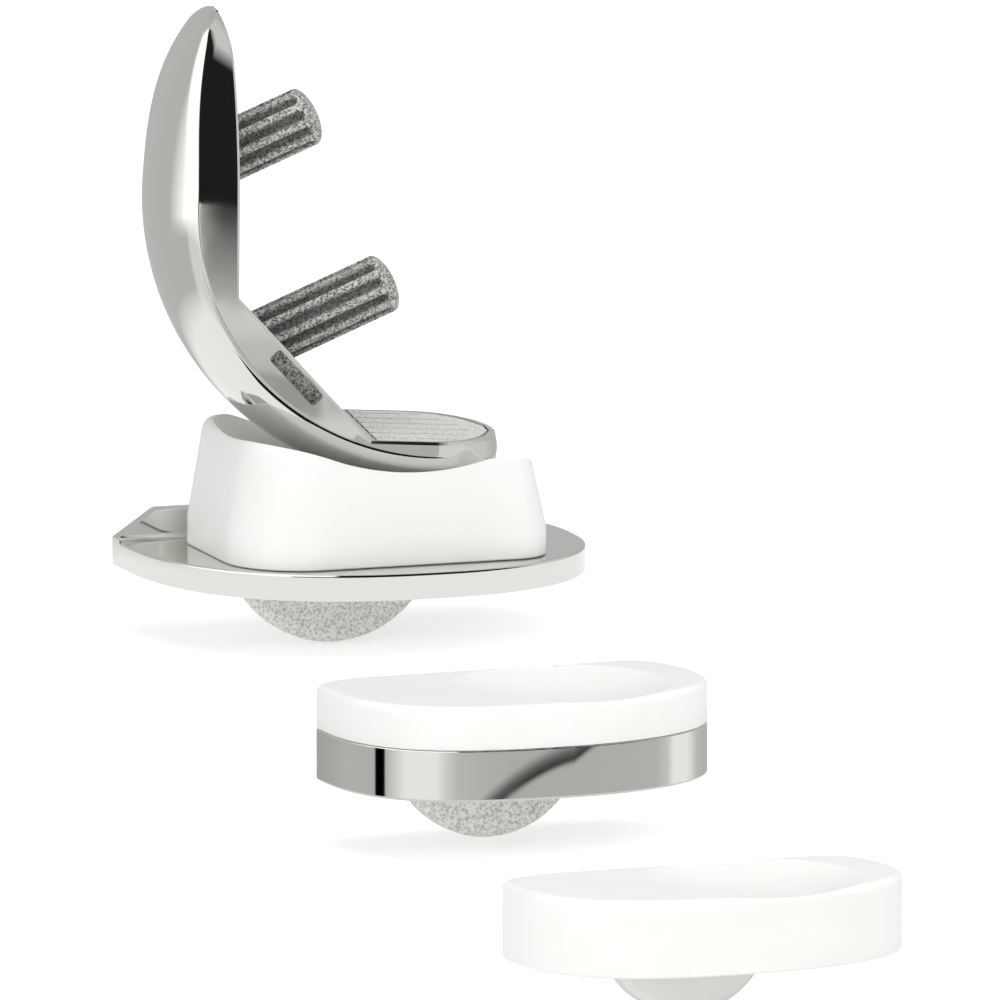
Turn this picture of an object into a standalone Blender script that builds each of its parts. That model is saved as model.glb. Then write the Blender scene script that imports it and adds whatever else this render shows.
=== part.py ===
"""Unicompartmental knee replacement set: a femoral component on its mobile bearing and tibial tray,
with a fixed-bearing and an all-polyethylene tibial component standing in front of it.

Metres, +Z up. +X is posterior, +Y lateral. The origin lies in the bone-side plane of the tibial tray,
medial of its keel.
"""

import math

import bmesh
import bpy
import numpy as np
from mathutils import Matrix, Vector

# Clearances
SEAT_GAP = 0.0003
CUT_OVERRUN = 0.004
WELD_DISTANCE = 0.0000001

# Tibial tray of the mobile bearing, placed by the middle of its plan
TRAY_PLACE_X = 0.0
TRAY_PLACE_Y = 0.0080
TRAY_LENGTH = 0.0476
TRAY_WIDTH = 0.0311
TRAY_THICKNESS = 0.0029
TRAY_EDGE = 0.0003
WALL_THICKNESS = 0.0018
WALL_HEIGHT = 0.00325
WALL_EDGE = 0.0004
WALL_FILLET = 0.0006
WALL_FOOT_HEIGHT = 0.0008
WALL_FRONT_SLOPE = 0.0050
WALL_BACK_SLOPE = 0.0025
WALL_BACK_MARGIN = 0.0088

# Plans of the tibial plateaus, as shares of their lengths and widths: where the bow is widest, how far
# its front and back quarters rise, how far the two lateral corners reach, and the quarters' exponents
TRAY_PLAN_SHARES = (0.571, 0.90, 0.566, 0.187, 0.0)
TRAY_PLAN_EXPONENTS = (2.45, 2.1, 2.8)
FIXED_PLAN_SHARES = (0.530, 0.818, 0.546, 0.143, 0.217)
FIXED_PLAN_EXPONENTS = (2.8, 2.0, 2.2)

# Porous coating of the bone side and the keel
COATING_THICKNESS = 0.0007
COATING_RIM = 0.0016
KEEL_PLACE_X = -0.0045
KEEL_RADIUS = 0.0117
KEEL_DEPTH = 0.00665
KEEL_THICKNESS = 0.0036
KEEL_ROUNDING = 0.0011

# Mobile bearing
BEARING_FRONT_X = -0.0175
BEARING_LENGTH = 0.0345
BEARING_WIDTH = 0.0247
BEARING_LEAST_THICKNESS = 0.0063
BEARING_NEAR_FRONT_CORNER = 0.0085
BEARING_NEAR_BACK_CORNER = 0.0042
BEARING_FAR_CORNER = 0.0050
BEARING_FOOT_EDGE = 0.0004
BEARING_SKIRT = 0.0028
BEARING_FRONT_LEAN_DEG = 10.5
BEARING_BACK_LEAN_DEG = 13.0
BEARING_FRONT_HEIGHT = 0.0133
BEARING_TOP_SLOPE_DEG = 3.7
BEARING_LIP_ROUNDING = 0.0012
DISH_GAP = 0.0003
ENTRY_RADIUS = 0.0310
ENTRY_AHEAD = 0.0053
ENTRY_RISE = 0.0006
MARKER_WIRE_DIAMETER = 0.0010
MARKER_WIRE_LENGTH = 0.0140
MARKER_WIRE_SETBACK = 0.0050
MARKER_WIRE_HEIGHT = 0.0035
MARKER_WIRE_DEPTH = 0.0030
MARKER_BALL_DIAMETER = 0.0016
MARKER_BALL_SETBACK = 0.0042
MARKER_BALL_INSET = 0.0046
MARKER_BALL_HEIGHT = 0.0030

# Femoral component, in a frame centred on the flexion axis: x posterior, y lateral, z up
FLEXION_AXIS_BEHIND_FRONT = 0.02474
FEMORAL_YAW_DEG = -9.0
FEMORAL_TILT_DEG = 3.0
CONDYLE_RADIUS = 0.0310
CROWN_RADIUS = 0.0185
FRONT_FLARE = 0.00115
FLARE_START_DEG = 179.0
FLARE_FULL_DEG = 150.0
FEMORAL_WIDTH = 0.0210
DISTAL_THICKNESS = 0.0090
FLANGE_THICKNESS = 0.0058
DISTAL_SLOPE_DEG = 2.5
CHAMFER_START_SHARE = 0.329
CHAMFER_END_SHARE = 0.2258
TIP_ANGLE_DEG = 141.7
FLANGE_END_ANGLE_DEG = 287.3
TIP_TAPER_LENGTH = 0.0210
FLANGE_TAPER_LENGTH = 0.0095
TIP_EXPONENT = 2.1
FLANGE_EXPONENT = 2.1
TIP_ROUNDING = 0.0030
FLANGE_ROUNDING = 0.0060
TIP_ROUNDING_OUTER_SHARE = 0.6
FLANGE_ROUNDING_OUTER_SHARE = 0.0
SIDE_ROUNDING = 0.0019
SIDE_ROUNDING_SHARE = 0.45
INNER_EDGE = 0.0003
LEAST_END_SHARE = 0.12
LINING_END_SHARE = 0.24
FACET_RIM = 0.0014
FLANGE_RIM = 0.0006
DISTAL_LINING_MARGIN = 0.0090
FLANGE_LINING_MARGIN = 0.0007

# Grooves in the flange lining, with their lengths from medial to lateral
GROOVE_PITCH = 0.0032
GROOVE_WIDTH = 0.0006
GROOVE_DEPTH = 0.00045
GROOVE_LENGTHS = (0.0097, 0.0114, 0.0119, 0.0114, 0.0101, 0.0085)

# Instrument pockets in the sides of the shell, along the chamfer
POCKET_START = 0.0070
POCKET_END = 0.0141
POCKET_RIM = 0.0005
POCKET_WIDTH = 0.0016
POCKET_DEPTH = 0.0020
POCKET_CORNER = 0.0004
POCKET_BACKING = 0.0008

# Fixation pegs
PEG_DIAMETER = 0.00645
PEG_SLOPE_DEG = 26.5
ANTERIOR_PEG_HEIGHT = 0.0036
ANTERIOR_PEG_LENGTH = 0.0108
POSTERIOR_PEG_ALONG_CHAMFER = 0.0078
POSTERIOR_PEG_LENGTH = 0.0143
PEG_DOME_HEIGHT = 0.0014
PEG_SPIGOT_DIAMETER = 0.0042
PEG_SPIGOT_LENGTH = 0.0032
FLUTE_COUNT = 10
FLUTE_WIDTH = 0.0015
FLUTE_DEPTH = 0.00045

# Fixed-bearing tibial component
FIXED_PLACE_X = -0.0247
FIXED_PLACE_Y = -0.11405
FIXED_YAW_DEG = 1.6
FIXED_LENGTH = 0.0402
FIXED_WIDTH = 0.02285
FIXED_TRAY_HEIGHT = 0.0054
FIXED_FLOOR = 0.0024
FIXED_RIM = 0.0014
FIXED_INSERT_HEIGHT = 0.0046
FIXED_KEEL_PLACE_X = -0.0042
FIXED_KEEL_RADIUS = 0.0105
FIXED_KEEL_DEPTH = 0.0055
PLATEAU_EDGE = 0.0008
SHALLOW_DISH_RADIUS = 0.0420
SHALLOW_DISH_DEPTH = 0.0016
SHALLOW_DISH_PLACE_X = 0.0040

# All-polyethylene tibial component
ALL_POLY_PLACE_X = -0.0397
ALL_POLY_PLACE_Y = -0.2169
ALL_POLY_YAW_DEG = 1.4
ALL_POLY_LENGTH = 0.0406
ALL_POLY_WIDTH = 0.0207
ALL_POLY_HEIGHT = 0.0080
ALL_POLY_KEEL_PLACE_X = -0.0032
ALL_POLY_KEEL_RADIUS = 0.0092
ALL_POLY_KEEL_DEPTH = 0.0054

for old in list(bpy.data.objects):
    bpy.data.objects.remove(old)
PARTS = bpy.data.collections.new("unicompartmental_knee")
CUTTERS = bpy.data.collections.new("cutters")
bpy.context.scene.collection.children.link(PARTS)
bpy.context.scene.collection.children.link(CUTTERS)


def finish(name, colour, roughness, metallic):
    """A Principled material of one finish."""
    made = bpy.data.materials.new(name)
    made.use_nodes = True
    shader = made.node_tree.nodes["Principled BSDF"]
    shader.inputs["Base Color"].default_value = (*colour, 1)
    shader.inputs["Roughness"].default_value = roughness
    shader.inputs["Metallic"].default_value = metallic
    return made


POLISHED = finish("polished_cobalt_chrome", (0.62, 0.62, 0.60), 0.08, 1)
BLASTED = finish("blasted_cobalt_chrome", (0.33, 0.33, 0.32), 0.6, 1)
POROUS = finish("porous_coating", (0.55, 0.55, 0.54), 0.75, 1)
POLYETHYLENE = finish("uhmwpe", (0.90, 0.90, 0.88), 0.35, 0)
MARKER = finish("marker_metal", (0.45, 0.45, 0.46), 0.3, 1)


def helper(mesh, name):
    """A mesh as a hidden wire object, which may become a cutter or a piece."""
    obj = bpy.data.objects.new(name, mesh)
    CUTTERS.objects.link(obj)
    obj.hide_render = True
    obj.display_type = "WIRE"
    return obj


def keep(obj, name, material, axis_at=None):
    """Names a finished piece, gives it its material and moves it to the parts, its origin on its joint."""
    obj.name = name
    obj.data.name = name
    obj.data.materials.clear()
    obj.data.materials.append(material)
    CUTTERS.objects.unlink(obj)
    PARTS.objects.link(obj)
    obj.hide_render = False
    obj.display_type = "TEXTURED"
    obj.data.shade_smooth()
    obj.data.set_sharp_from_angle(angle=math.radians(30))
    if axis_at is not None:
        obj.data.transform(Matrix.Translation(-axis_at))
        obj.location = axis_at
    return obj


def placed(obj, matrix):
    """Writes a placing into the mesh."""
    obj.data.transform(matrix)
    return obj


def settled(obj, name):
    """The object's evaluated shape as a mesh object of its own, in place of it."""
    bpy.context.view_layer.update()
    graph = bpy.context.evaluated_depsgraph_get()
    mesh = bpy.data.meshes.new_from_object(obj.evaluated_get(graph))
    welded = bmesh.new()
    welded.from_mesh(mesh)
    bmesh.ops.remove_doubles(welded, verts=welded.verts, dist=WELD_DISTANCE)
    bmesh.ops.recalc_face_normals(welded, faces=welded.faces)
    welded.to_mesh(mesh)
    welded.free()
    mesh.transform(obj.matrix_world)
    bpy.data.objects.remove(obj)
    return helper(mesh, name)


def combine(target, others, operation):
    """Adds one Boolean to the target for each of the others."""
    for other in others:
        step = target.modifiers.new(other.name, "BOOLEAN")
        step.operation = operation
        step.solver = "EXACT"
        step.object = other
    return target


def plate(outline, bottom, top, name):
    """A flat outline in x and y, given a thickness along z."""
    curve = bpy.data.curves.new(name, "CURVE")
    curve.dimensions = "2D"
    curve.fill_mode = "BOTH"
    curve.extrude = (top - bottom) / 2
    spline = curve.splines.new("POLY")
    spline.points.add(len(outline) - 1)
    for point, (x, y) in zip(spline.points, outline):
        point.co = (x, y, 0, 1)
    spline.use_cyclic_u = True
    obj = bpy.data.objects.new(name, curve)
    CUTTERS.objects.link(obj)
    obj.location.z = (top + bottom) / 2
    return settled(obj, name)


def side_plate(outline, near, far, name):
    """A flat outline in x and z, given a thickness along y from near to far."""
    return placed(plate(outline, -far, -near, name), Matrix.Rotation(math.pi / 2, 4, "X"))


def turned(profile, steps, name):
    """A profile of (radius, height), from the top down its outer side, turned about z."""
    mesh = bpy.data.meshes.new(name)
    points = [(radius, 0, height) for radius, height in profile]
    mesh.from_pydata(points, [(i, i + 1) for i in range(len(points) - 1)], [])
    obj = bpy.data.objects.new(name, mesh)
    CUTTERS.objects.link(obj)
    screw = obj.modifiers.new("turn", "SCREW")
    screw.axis = "Z"
    screw.steps = steps
    screw.render_steps = steps
    screw.use_merge_vertices = True
    screw.merge_threshold = WELD_DISTANCE
    return settled(obj, name)


def rod(radius, bottom, top, steps, name):
    """A plain round bar along z."""
    return turned([(0, top), (radius, top), (radius, bottom), (0, bottom)], steps, name)


def ball(radius, centre, columns, rows, name):
    """A sphere."""
    mesh = bmesh.new()
    bmesh.ops.create_uvsphere(
        mesh, u_segments=columns, v_segments=rows, radius=radius, matrix=Matrix.Translation(centre)
    )
    data = bpy.data.meshes.new(name)
    mesh.to_mesh(data)
    mesh.free()
    return helper(data, name)


def loft(sections, name):
    """A closed skin over sections of equal point counts, with both end sections filled."""
    mesh = bmesh.new()
    rings = [[mesh.verts.new(point) for point in ring] for ring in sections]
    for first, second in zip(rings, rings[1:]):
        for i in range(len(first)):
            j = (i + 1) % len(first)
            mesh.faces.new((first[i], first[j], second[j], second[i]))
    mesh.faces.new(rings[0][::-1])
    mesh.faces.new(rings[-1])
    bmesh.ops.recalc_face_normals(mesh, faces=mesh.faces)
    data = bpy.data.meshes.new(name)
    mesh.to_mesh(data)
    mesh.free()
    return helper(data, name)


def arc(centre, radius, start, end, count):
    """Points on an arc, angles in degrees."""
    angles = np.radians(np.linspace(start, end, count))
    return [(centre[0] + radius * math.cos(t), centre[1] + radius * math.sin(t)) for t in angles]


def inset_outline(outline, distance):
    """An anticlockwise outline moved inwards by the distance, its corners mitred."""
    points = np.array(outline)
    ahead = np.roll(points, -1, axis=0) - points
    ahead /= np.linalg.norm(ahead, axis=1)[:, None]
    inward = np.stack([-ahead[:, 1], ahead[:, 0]], axis=1)
    before = np.roll(inward, 1, axis=0)
    mitre = (inward + before) / (1 + (inward * before).sum(axis=1))[:, None]
    return [tuple(p) for p in points + mitre * distance]


def edge_rounding(radius, count):
    """Pairs of (inset, height below the face) round a quarter circle, from the side to the face."""
    turn = np.linspace(0, math.pi / 2, count)
    return [(radius * (1 - math.cos(t)), radius * (1 - math.sin(t))) for t in turn]


def rounded_slab(outline, bottom, top, foot_edge, top_edge, name):
    """An outline given a thickness along z, with its two rims rounded."""
    levels = [(inset, bottom + drop) for inset, drop in edge_rounding(foot_edge, 4)[::-1]]
    levels += [(inset, top - drop) for inset, drop in edge_rounding(top_edge, 4)]
    return loft([[(x, y, z) for x, y in inset_outline(outline, inset)] for inset, z in levels], name)


def quarter_bow(centre, across, along, exponent, start, end, count):
    """Points on a superellipse between two angles in degrees."""
    points = []
    for t in np.radians(np.linspace(start, end, count)):
        c = math.cos(t)
        s = math.sin(t)
        x = math.copysign(abs(c) ** (2 / exponent), c)
        y = math.copysign(abs(s) ** (2 / exponent), s)
        points.append((centre[0] + across * x, centre[1] + along * y))
    return points


def plateau_outline(length, width, shares, exponents):
    """Plan of a tibial plateau about its middle: a bowed medial side, a straight lateral side and
    two lateral corners, of which the front one is sharp where its share is zero."""
    middle_share, front_share, back_share, back_corner_share, front_corner_share = shares
    front_exponent, back_exponent, corner_exponent = exponents
    front = -length / 2
    back = length / 2
    medial = -width / 2
    lateral = width / 2
    middle = front + middle_share * length
    front_centre = (middle, medial + front_share * width)
    back_centre = (middle, medial + back_share * width)
    corner = back_corner_share * length
    corner_centre = (back - corner, back_centre[1])
    bow = quarter_bow(front_centre, middle - front, front_centre[1] - medial, front_exponent, 180, 270, 20)
    rear = quarter_bow(back_centre, back - middle, back_centre[1] - medial, back_exponent, 270, 360, 16)
    side = quarter_bow(corner_centre, corner, lateral - back_centre[1], corner_exponent, 0, 90, 13)
    if front_corner_share == 0:
        return bow[:-1] + rear[:-1] + side + [(front, lateral)]
    reach = front_corner_share * length
    rise = lateral - front_centre[1]
    turn = quarter_bow((front + reach, front_centre[1]), reach, rise, corner_exponent, 90, 180, 9)
    return bow[:-1] + rear[:-1] + side + turn[:-1]


def fin(place_x, radius, depth, thickness, rounding, top, name):
    """A half-moon keel along x, its curved rim rounded, reaching down from the height `top`."""
    centre_z = radius - depth
    levels = edge_rounding(rounding, 4)
    sides = [(inset, -thickness / 2 + drop) for inset, drop in levels[::-1]]
    sides += [(inset, thickness / 2 - drop) for inset, drop in levels]
    sections = []
    for inset, y in sides:
        reach = math.degrees(math.asin((top - centre_z) / (radius - inset)))
        rim = arc((place_x, centre_z), radius - inset, -180 - reach, reach, 29)
        sections.append([(x, y, z) for x, z in rim])
    return loft(sections, name)


def place(x, y, yaw):
    """A place on the ground plane, turned about z by the angle in degrees."""
    return Matrix.Translation((x, y, 0)) @ Matrix.Rotation(math.radians(yaw), 4, "Z")


COATING_RECESS = COATING_THICKNESS + SEAT_GAP
KEEL_CORE_THICKNESS = KEEL_THICKNESS - 2 * COATING_RECESS


def bone_side(outline, keel_x, keel_radius, keel_depth, name):
    """The porous layer of a metal tray, and what the tray needs for it: a recess and a keel core."""
    recess = plate(inset_outline(outline, COATING_RIM), -CUT_OVERRUN, COATING_RECESS, name + "_recess")
    core = fin(
        keel_x,
        keel_radius - COATING_RECESS,
        keel_depth - COATING_RECESS,
        KEEL_CORE_THICKNESS,
        SEAT_GAP,
        COATING_RECESS + SEAT_GAP,
        name + "_core",
    )
    coat = plate(inset_outline(outline, COATING_RIM + SEAT_GAP), 0, COATING_THICKNESS, name + "_layer")
    half_layer = COATING_THICKNESS / 2
    sleeve = fin(
        keel_x,
        keel_radius,
        keel_depth,
        KEEL_THICKNESS,
        KEEL_ROUNDING,
        half_layer,
        name + "_sleeve",
    )
    slot = fin(
        keel_x,
        keel_radius - COATING_THICKNESS,
        keel_depth - COATING_THICKNESS,
        KEEL_THICKNESS - 2 * COATING_THICKNESS,
        SEAT_GAP,
        COATING_THICKNESS + CUT_OVERRUN / 4,
        name + "_slot",
    )
    combine(coat, [sleeve], "UNION")
    combine(coat, [slot], "DIFFERENCE")
    return settled(coat, name), recess, core


# Tibial tray with its guide wall, and the porous layer on its bone side

TRAY_FRAME = place(TRAY_PLACE_X, TRAY_PLACE_Y, 0)
TRAY_OUTLINE = plateau_outline(TRAY_LENGTH, TRAY_WIDTH, TRAY_PLAN_SHARES, TRAY_PLAN_EXPONENTS)
tray_coating, tray_recess, tray_core = bone_side(
    TRAY_OUTLINE, KEEL_PLACE_X, KEEL_RADIUS, KEEL_DEPTH, "tray_coating"
)
tray = rounded_slab(TRAY_OUTLINE, 0, TRAY_THICKNESS, TRAY_EDGE, TRAY_EDGE, "tray_plate")
wall_outer = TRAY_WIDTH / 2
wall_inner = wall_outer - WALL_THICKNESS
wall_top = TRAY_THICKNESS + WALL_HEIGHT
wall_front = -TRAY_LENGTH / 2
wall_back = TRAY_LENGTH / 2 - WALL_BACK_MARGIN
wall_section = [(wall_outer, WALL_FOOT_HEIGHT)]
wall_section += arc((wall_outer - WALL_EDGE, wall_top - WALL_EDGE), WALL_EDGE, 0, 90, 4)
wall_section += arc((wall_inner + WALL_EDGE, wall_top - WALL_EDGE), WALL_EDGE, 90, 180, 4)
wall_section += arc((wall_inner - WALL_FILLET, TRAY_THICKNESS + WALL_FILLET), WALL_FILLET, 360, 270, 5)
wall_section += [(wall_inner - WALL_FILLET, WALL_FOOT_HEIGHT)]
wall = loft([[(x, y, z) for y, z in wall_section] for x in (wall_front, wall_back)], "tray_wall")
wall_cut_top = wall_top + CUT_OVERRUN
front_slope = [
    (wall_front - CUT_OVERRUN, TRAY_THICKNESS),
    (wall_front - TRAY_EDGE, TRAY_THICKNESS),
    (wall_front + WALL_FRONT_SLOPE, wall_top + TRAY_EDGE),
    (wall_front + WALL_FRONT_SLOPE, wall_cut_top),
    (wall_front - CUT_OVERRUN, wall_cut_top),
]
back_slope = [
    (wall_back + CUT_OVERRUN, TRAY_THICKNESS),
    (wall_back + CUT_OVERRUN, wall_cut_top),
    (wall_back - WALL_BACK_SLOPE, wall_cut_top),
    (wall_back - WALL_BACK_SLOPE, wall_top + TRAY_EDGE),
    (wall_back + TRAY_EDGE, TRAY_THICKNESS),
]
slope_near = wall_inner - CUT_OVERRUN
slope_far = wall_outer + CUT_OVERRUN
front_cut = side_plate(front_slope, slope_near, slope_far, "wall_front_slope")
back_cut = side_plate(back_slope, slope_near, slope_far, "wall_back_slope")
wall = settled(combine(wall, [front_cut, back_cut], "DIFFERENCE"), "sloped_wall")
combine(tray, [wall], "UNION")
combine(tray, [tray_recess], "DIFFERENCE")
combine(tray, [tray_core], "UNION")
keep(placed(settled(tray, "tray"), TRAY_FRAME), "tibial_tray", POLISHED)
keep(placed(tray_coating, TRAY_FRAME), "tray_coating", POROUS)

# Mobile bearing with its dish and its radio-opaque markers

BEARING_FOOT_Z = TRAY_THICKNESS + SEAT_GAP
BEARING_FAR_Y = TRAY_PLACE_Y + wall_inner - SEAT_GAP
BEARING_NEAR_Y = BEARING_FAR_Y - BEARING_WIDTH
BEARING_BACK_X = BEARING_FRONT_X + BEARING_LENGTH
DISH_RADIUS = CONDYLE_RADIUS + DISH_GAP
FLEXION_AXIS = Vector(
    (
        BEARING_FRONT_X + FLEXION_AXIS_BEHIND_FRONT,
        BEARING_FAR_Y - BEARING_WIDTH / 2,
        BEARING_FOOT_Z + BEARING_LEAST_THICKNESS + DISH_RADIUS,
    )
)
BEARING_SKIRT_Z = BEARING_FOOT_Z + BEARING_SKIRT


def bearing_plan(inset):
    """The bearing's foot, a rectangle with one corner radius at each of its corners."""
    corners = (
        (BEARING_FRONT_X, BEARING_NEAR_Y, 1, 1, BEARING_NEAR_FRONT_CORNER, 180),
        (BEARING_BACK_X, BEARING_NEAR_Y, -1, 1, BEARING_NEAR_BACK_CORNER, 270),
        (BEARING_BACK_X, BEARING_FAR_Y, -1, -1, BEARING_FAR_CORNER, 0),
        (BEARING_FRONT_X, BEARING_FAR_Y, 1, -1, BEARING_FAR_CORNER, 90),
    )
    outline = []
    for x, y, right, up, radius, start in corners:
        outline += arc((x + right * radius, y + up * radius), radius - inset, start, start + 90, 10)
    return outline


def leaned(x, z):
    """How the bearing's front and back faces lean in above its skirt."""
    rise = max(0.0, z - BEARING_SKIRT_Z)
    front = rise * math.tan(math.radians(BEARING_FRONT_LEAN_DEG))
    back = rise * math.tan(math.radians(BEARING_BACK_LEAN_DEG))
    share = (x - BEARING_FRONT_X) / (BEARING_BACK_X - BEARING_FRONT_X)
    return x + front * (1 - share) - back * share


def bearing_top(x):
    """Height of the sloping top face."""
    run = x - BEARING_FRONT_X
    return BEARING_FOOT_Z + BEARING_FRONT_HEIGHT - run * math.tan(math.radians(BEARING_TOP_SLOPE_DEG))


bearing_rings = []
for inset, drop in edge_rounding(BEARING_FOOT_EDGE, 3)[::-1]:
    bearing_rings.append([(x, y, BEARING_FOOT_Z + drop) for x, y in bearing_plan(inset)])
bearing_rings.append([(x, y, BEARING_SKIRT_Z) for x, y in bearing_plan(0)])
for inset, drop in edge_rounding(BEARING_LIP_ROUNDING, 6):
    tops = [(x, y, bearing_top(x) - drop) for x, y in bearing_plan(inset)]
    bearing_rings.append([(leaned(x, z), y, z) for x, y, z in tops])
bearing = loft(bearing_rings, "bearing_block")
dish_crown = CROWN_RADIUS + DISH_GAP
dish_profile = [
    (DISH_RADIUS - dish_crown + dish_crown * math.cos(t), dish_crown * math.sin(t))
    for t in np.linspace(math.pi / 3, -math.pi / 3, 41)
]
dish_profile = [(0, dish_profile[0][1]), *dish_profile, (0, dish_profile[-1][1])]
dish_frame = (
    Matrix.Translation(FLEXION_AXIS)
    @ Matrix.Rotation(math.radians(FEMORAL_YAW_DEG), 4, "Z")
    @ Matrix.Rotation(-math.pi / 2, 4, "X")
)
dish = placed(turned(dish_profile, 144, "dish"), dish_frame)
entry_centre = FLEXION_AXIS - Vector((ENTRY_AHEAD, 0, -ENTRY_RISE))
entry = ball(ENTRY_RADIUS, entry_centre, 120, 60, "dish_entry")
wire_radius = MARKER_WIRE_DIAMETER / 2
wire_far_y = BEARING_FAR_Y - MARKER_WIRE_DEPTH
wire_near_y = wire_far_y - MARKER_WIRE_LENGTH
wire_line = Matrix.Translation(
    (BEARING_FRONT_X + MARKER_WIRE_SETBACK, 0, BEARING_FOOT_Z + MARKER_WIRE_HEIGHT)
) @ Matrix.Rotation(-math.pi / 2, 4, "X")
wire_hole = rod(
    wire_radius + SEAT_GAP, wire_near_y - SEAT_GAP, BEARING_FAR_Y + CUT_OVERRUN, 16, "wire_hole"
)
marker_wire = rod(wire_radius, wire_near_y, wire_far_y, 16, "wire")
ball_radius = MARKER_BALL_DIAMETER / 2
ball_x = BEARING_BACK_X - MARKER_BALL_SETBACK
ball_z = BEARING_FOOT_Z + MARKER_BALL_HEIGHT
ball_holes = []
marker_balls = []
ball_rows = (("medial", BEARING_NEAR_Y + MARKER_BALL_INSET), ("lateral", BEARING_FAR_Y - MARKER_BALL_INSET))
for side, ball_y in ball_rows:
    hole = rod(
        ball_radius + SEAT_GAP,
        BEARING_FOOT_Z - CUT_OVERRUN / 4,
        ball_z + ball_radius + SEAT_GAP,
        16,
        side + "_ball_hole",
    )
    ball_holes.append(placed(hole, Matrix.Translation((ball_x, ball_y, 0))))
    marker_balls.append((side, ball(ball_radius, (ball_x, ball_y, ball_z), 16, 10, side + "_ball")))
combine(bearing, [dish, entry, placed(wire_hole, wire_line), *ball_holes], "DIFFERENCE")
keep(settled(bearing, "bearing"), "mobile_bearing", POLYETHYLENE, FLEXION_AXIS)
keep(placed(marker_wire, wire_line), "marker_wire", MARKER, FLEXION_AXIS)
for side, made in marker_balls:
    keep(made, "marker_ball_" + side, MARKER, FLEXION_AXIS)

# The femoral component's own frame: facets, sections and stations

CHAMFER_START_HEIGHT = CHAMFER_START_SHARE * CONDYLE_RADIUS
CHAMFER_TOP = Vector((DISTAL_THICKNESS - CONDYLE_RADIUS, -CHAMFER_START_HEIGHT))
CHAMFER_FOOT = Vector((-CHAMFER_END_SHARE * CONDYLE_RADIUS, FLANGE_THICKNESS - CONDYLE_RADIUS))
DISTAL_SLOPE = math.radians(DISTAL_SLOPE_DEG)
FLARE_START = math.radians(FLARE_START_DEG)
FLARE_FULL = math.radians(FLARE_FULL_DEG)
TIP_ANGLE = math.radians(TIP_ANGLE_DEG)
FLANGE_END_ANGLE = math.radians(FLANGE_END_ANGLE_DEG)
CHAMFER_TOP_ANGLE = math.atan2(CHAMFER_TOP.y, CHAMFER_TOP.x) + 2 * math.pi
CHAMFER_FOOT_ANGLE = math.atan2(CHAMFER_FOOT.y, CHAMFER_FOOT.x) + 2 * math.pi
FACETS = {
    "distal": (CHAMFER_TOP, Vector((math.sin(DISTAL_SLOPE), -math.cos(DISTAL_SLOPE)))),
    "chamfer": (CHAMFER_TOP, (CHAMFER_FOOT - CHAMFER_TOP).normalized()),
    "flange": (CHAMFER_FOOT, Vector((1, 0))),
}
ENDS = (
    (TIP_ANGLE, 1, TIP_TAPER_LENGTH, TIP_EXPONENT, TIP_ROUNDING),
    (FLANGE_END_ANGLE, -1, FLANGE_TAPER_LENGTH, FLANGE_EXPONENT, FLANGE_ROUNDING),
)
FEMORAL_FRAME = (
    Matrix.Translation(FLEXION_AXIS)
    @ Matrix.Rotation(math.radians(FEMORAL_YAW_DEG), 4, "Z")
    @ Matrix.Rotation(math.radians(FEMORAL_TILT_DEG), 4, "Y")
)


def inner_radius(angle, facet=None):
    """Distance from the flexion axis to the bone side along a ray at this angle."""
    if facet is None and angle < CHAMFER_TOP_ANGLE:
        facet = "distal"
    elif facet is None:
        facet = "chamfer" if angle < CHAMFER_FOOT_ANGLE else "flange"
    start, along = FACETS[facet]
    normal = Vector((-along.y, along.x))
    return normal.dot(start) / normal.dot(Vector((math.cos(angle), math.sin(angle))))


def outer_radius(angle):
    """Distance from the flexion axis to the middle of the bearing surface, which flares at the front."""
    rise = min(1.0, max(0.0, (FLARE_START - angle) / (FLARE_START - FLARE_FULL)))
    return CONDYLE_RADIUS + FRONT_FLARE * rise * rise * (3 - 2 * rise)


def end_shares(angle):
    """Shares of the full width and the full thickness that are left near the two ends."""
    width_share = 1.0
    thickness_share = 1.0
    for end, sense, taper, exponent, rounding in ENDS:
        distance = max(0.0, CONDYLE_RADIUS * (angle - end) * sense)
        if distance < taper:
            width_share *= (1 - (1 - distance / taper) ** exponent) ** (1 / exponent)
        if distance < rounding:
            thickness_share *= math.sqrt(1 - (1 - distance / rounding) ** 2)
    return max(width_share, LEAST_END_SHARE), max(thickness_share, LEAST_END_SHARE)


def section(angle):
    """One closed section across the shell: crown, side rounding, side and bone side."""
    width_share, thickness_share = end_shares(angle)
    width = width_share * FEMORAL_WIDTH / 2
    inner = inner_radius(angle)
    outer = outer_radius(angle)
    thickness = outer - inner
    rounding = min(SIDE_ROUNDING, SIDE_ROUNDING_SHARE * thickness, SIDE_ROUNDING_SHARE * 2 * width)
    lean = math.asin((width - rounding) / (CROWN_RADIUS - rounding))
    crown = outer - CROWN_RADIUS
    half = [
        (crown + CROWN_RADIUS * math.cos(t), CROWN_RADIUS * math.sin(t)) for t in np.linspace(0, lean, 7)
    ]
    centre = (crown + (CROWN_RADIUS - rounding) * math.cos(lean), width - rounding)
    for turn in np.linspace(lean, math.pi / 2, 7)[1:]:
        half.append((centre[0] + rounding * math.cos(turn), centre[1] + rounding * math.sin(turn)))
    edge = min(INNER_EDGE, width / 4, thickness / 4)
    half += [(inner + edge, width), (inner, width - edge)]
    near_tip = angle < CHAMFER_TOP_ANGLE
    middle = inner + thickness * (TIP_ROUNDING_OUTER_SHARE if near_tip else FLANGE_ROUNDING_OUTER_SHARE)
    half = [(middle + (r - middle) * thickness_share, y) for r, y in half]
    ring = half + [(r, -y) for r, y in half[:0:-1]]
    return [(r * math.cos(angle), y, r * math.sin(angle)) for r, y in ring]


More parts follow.
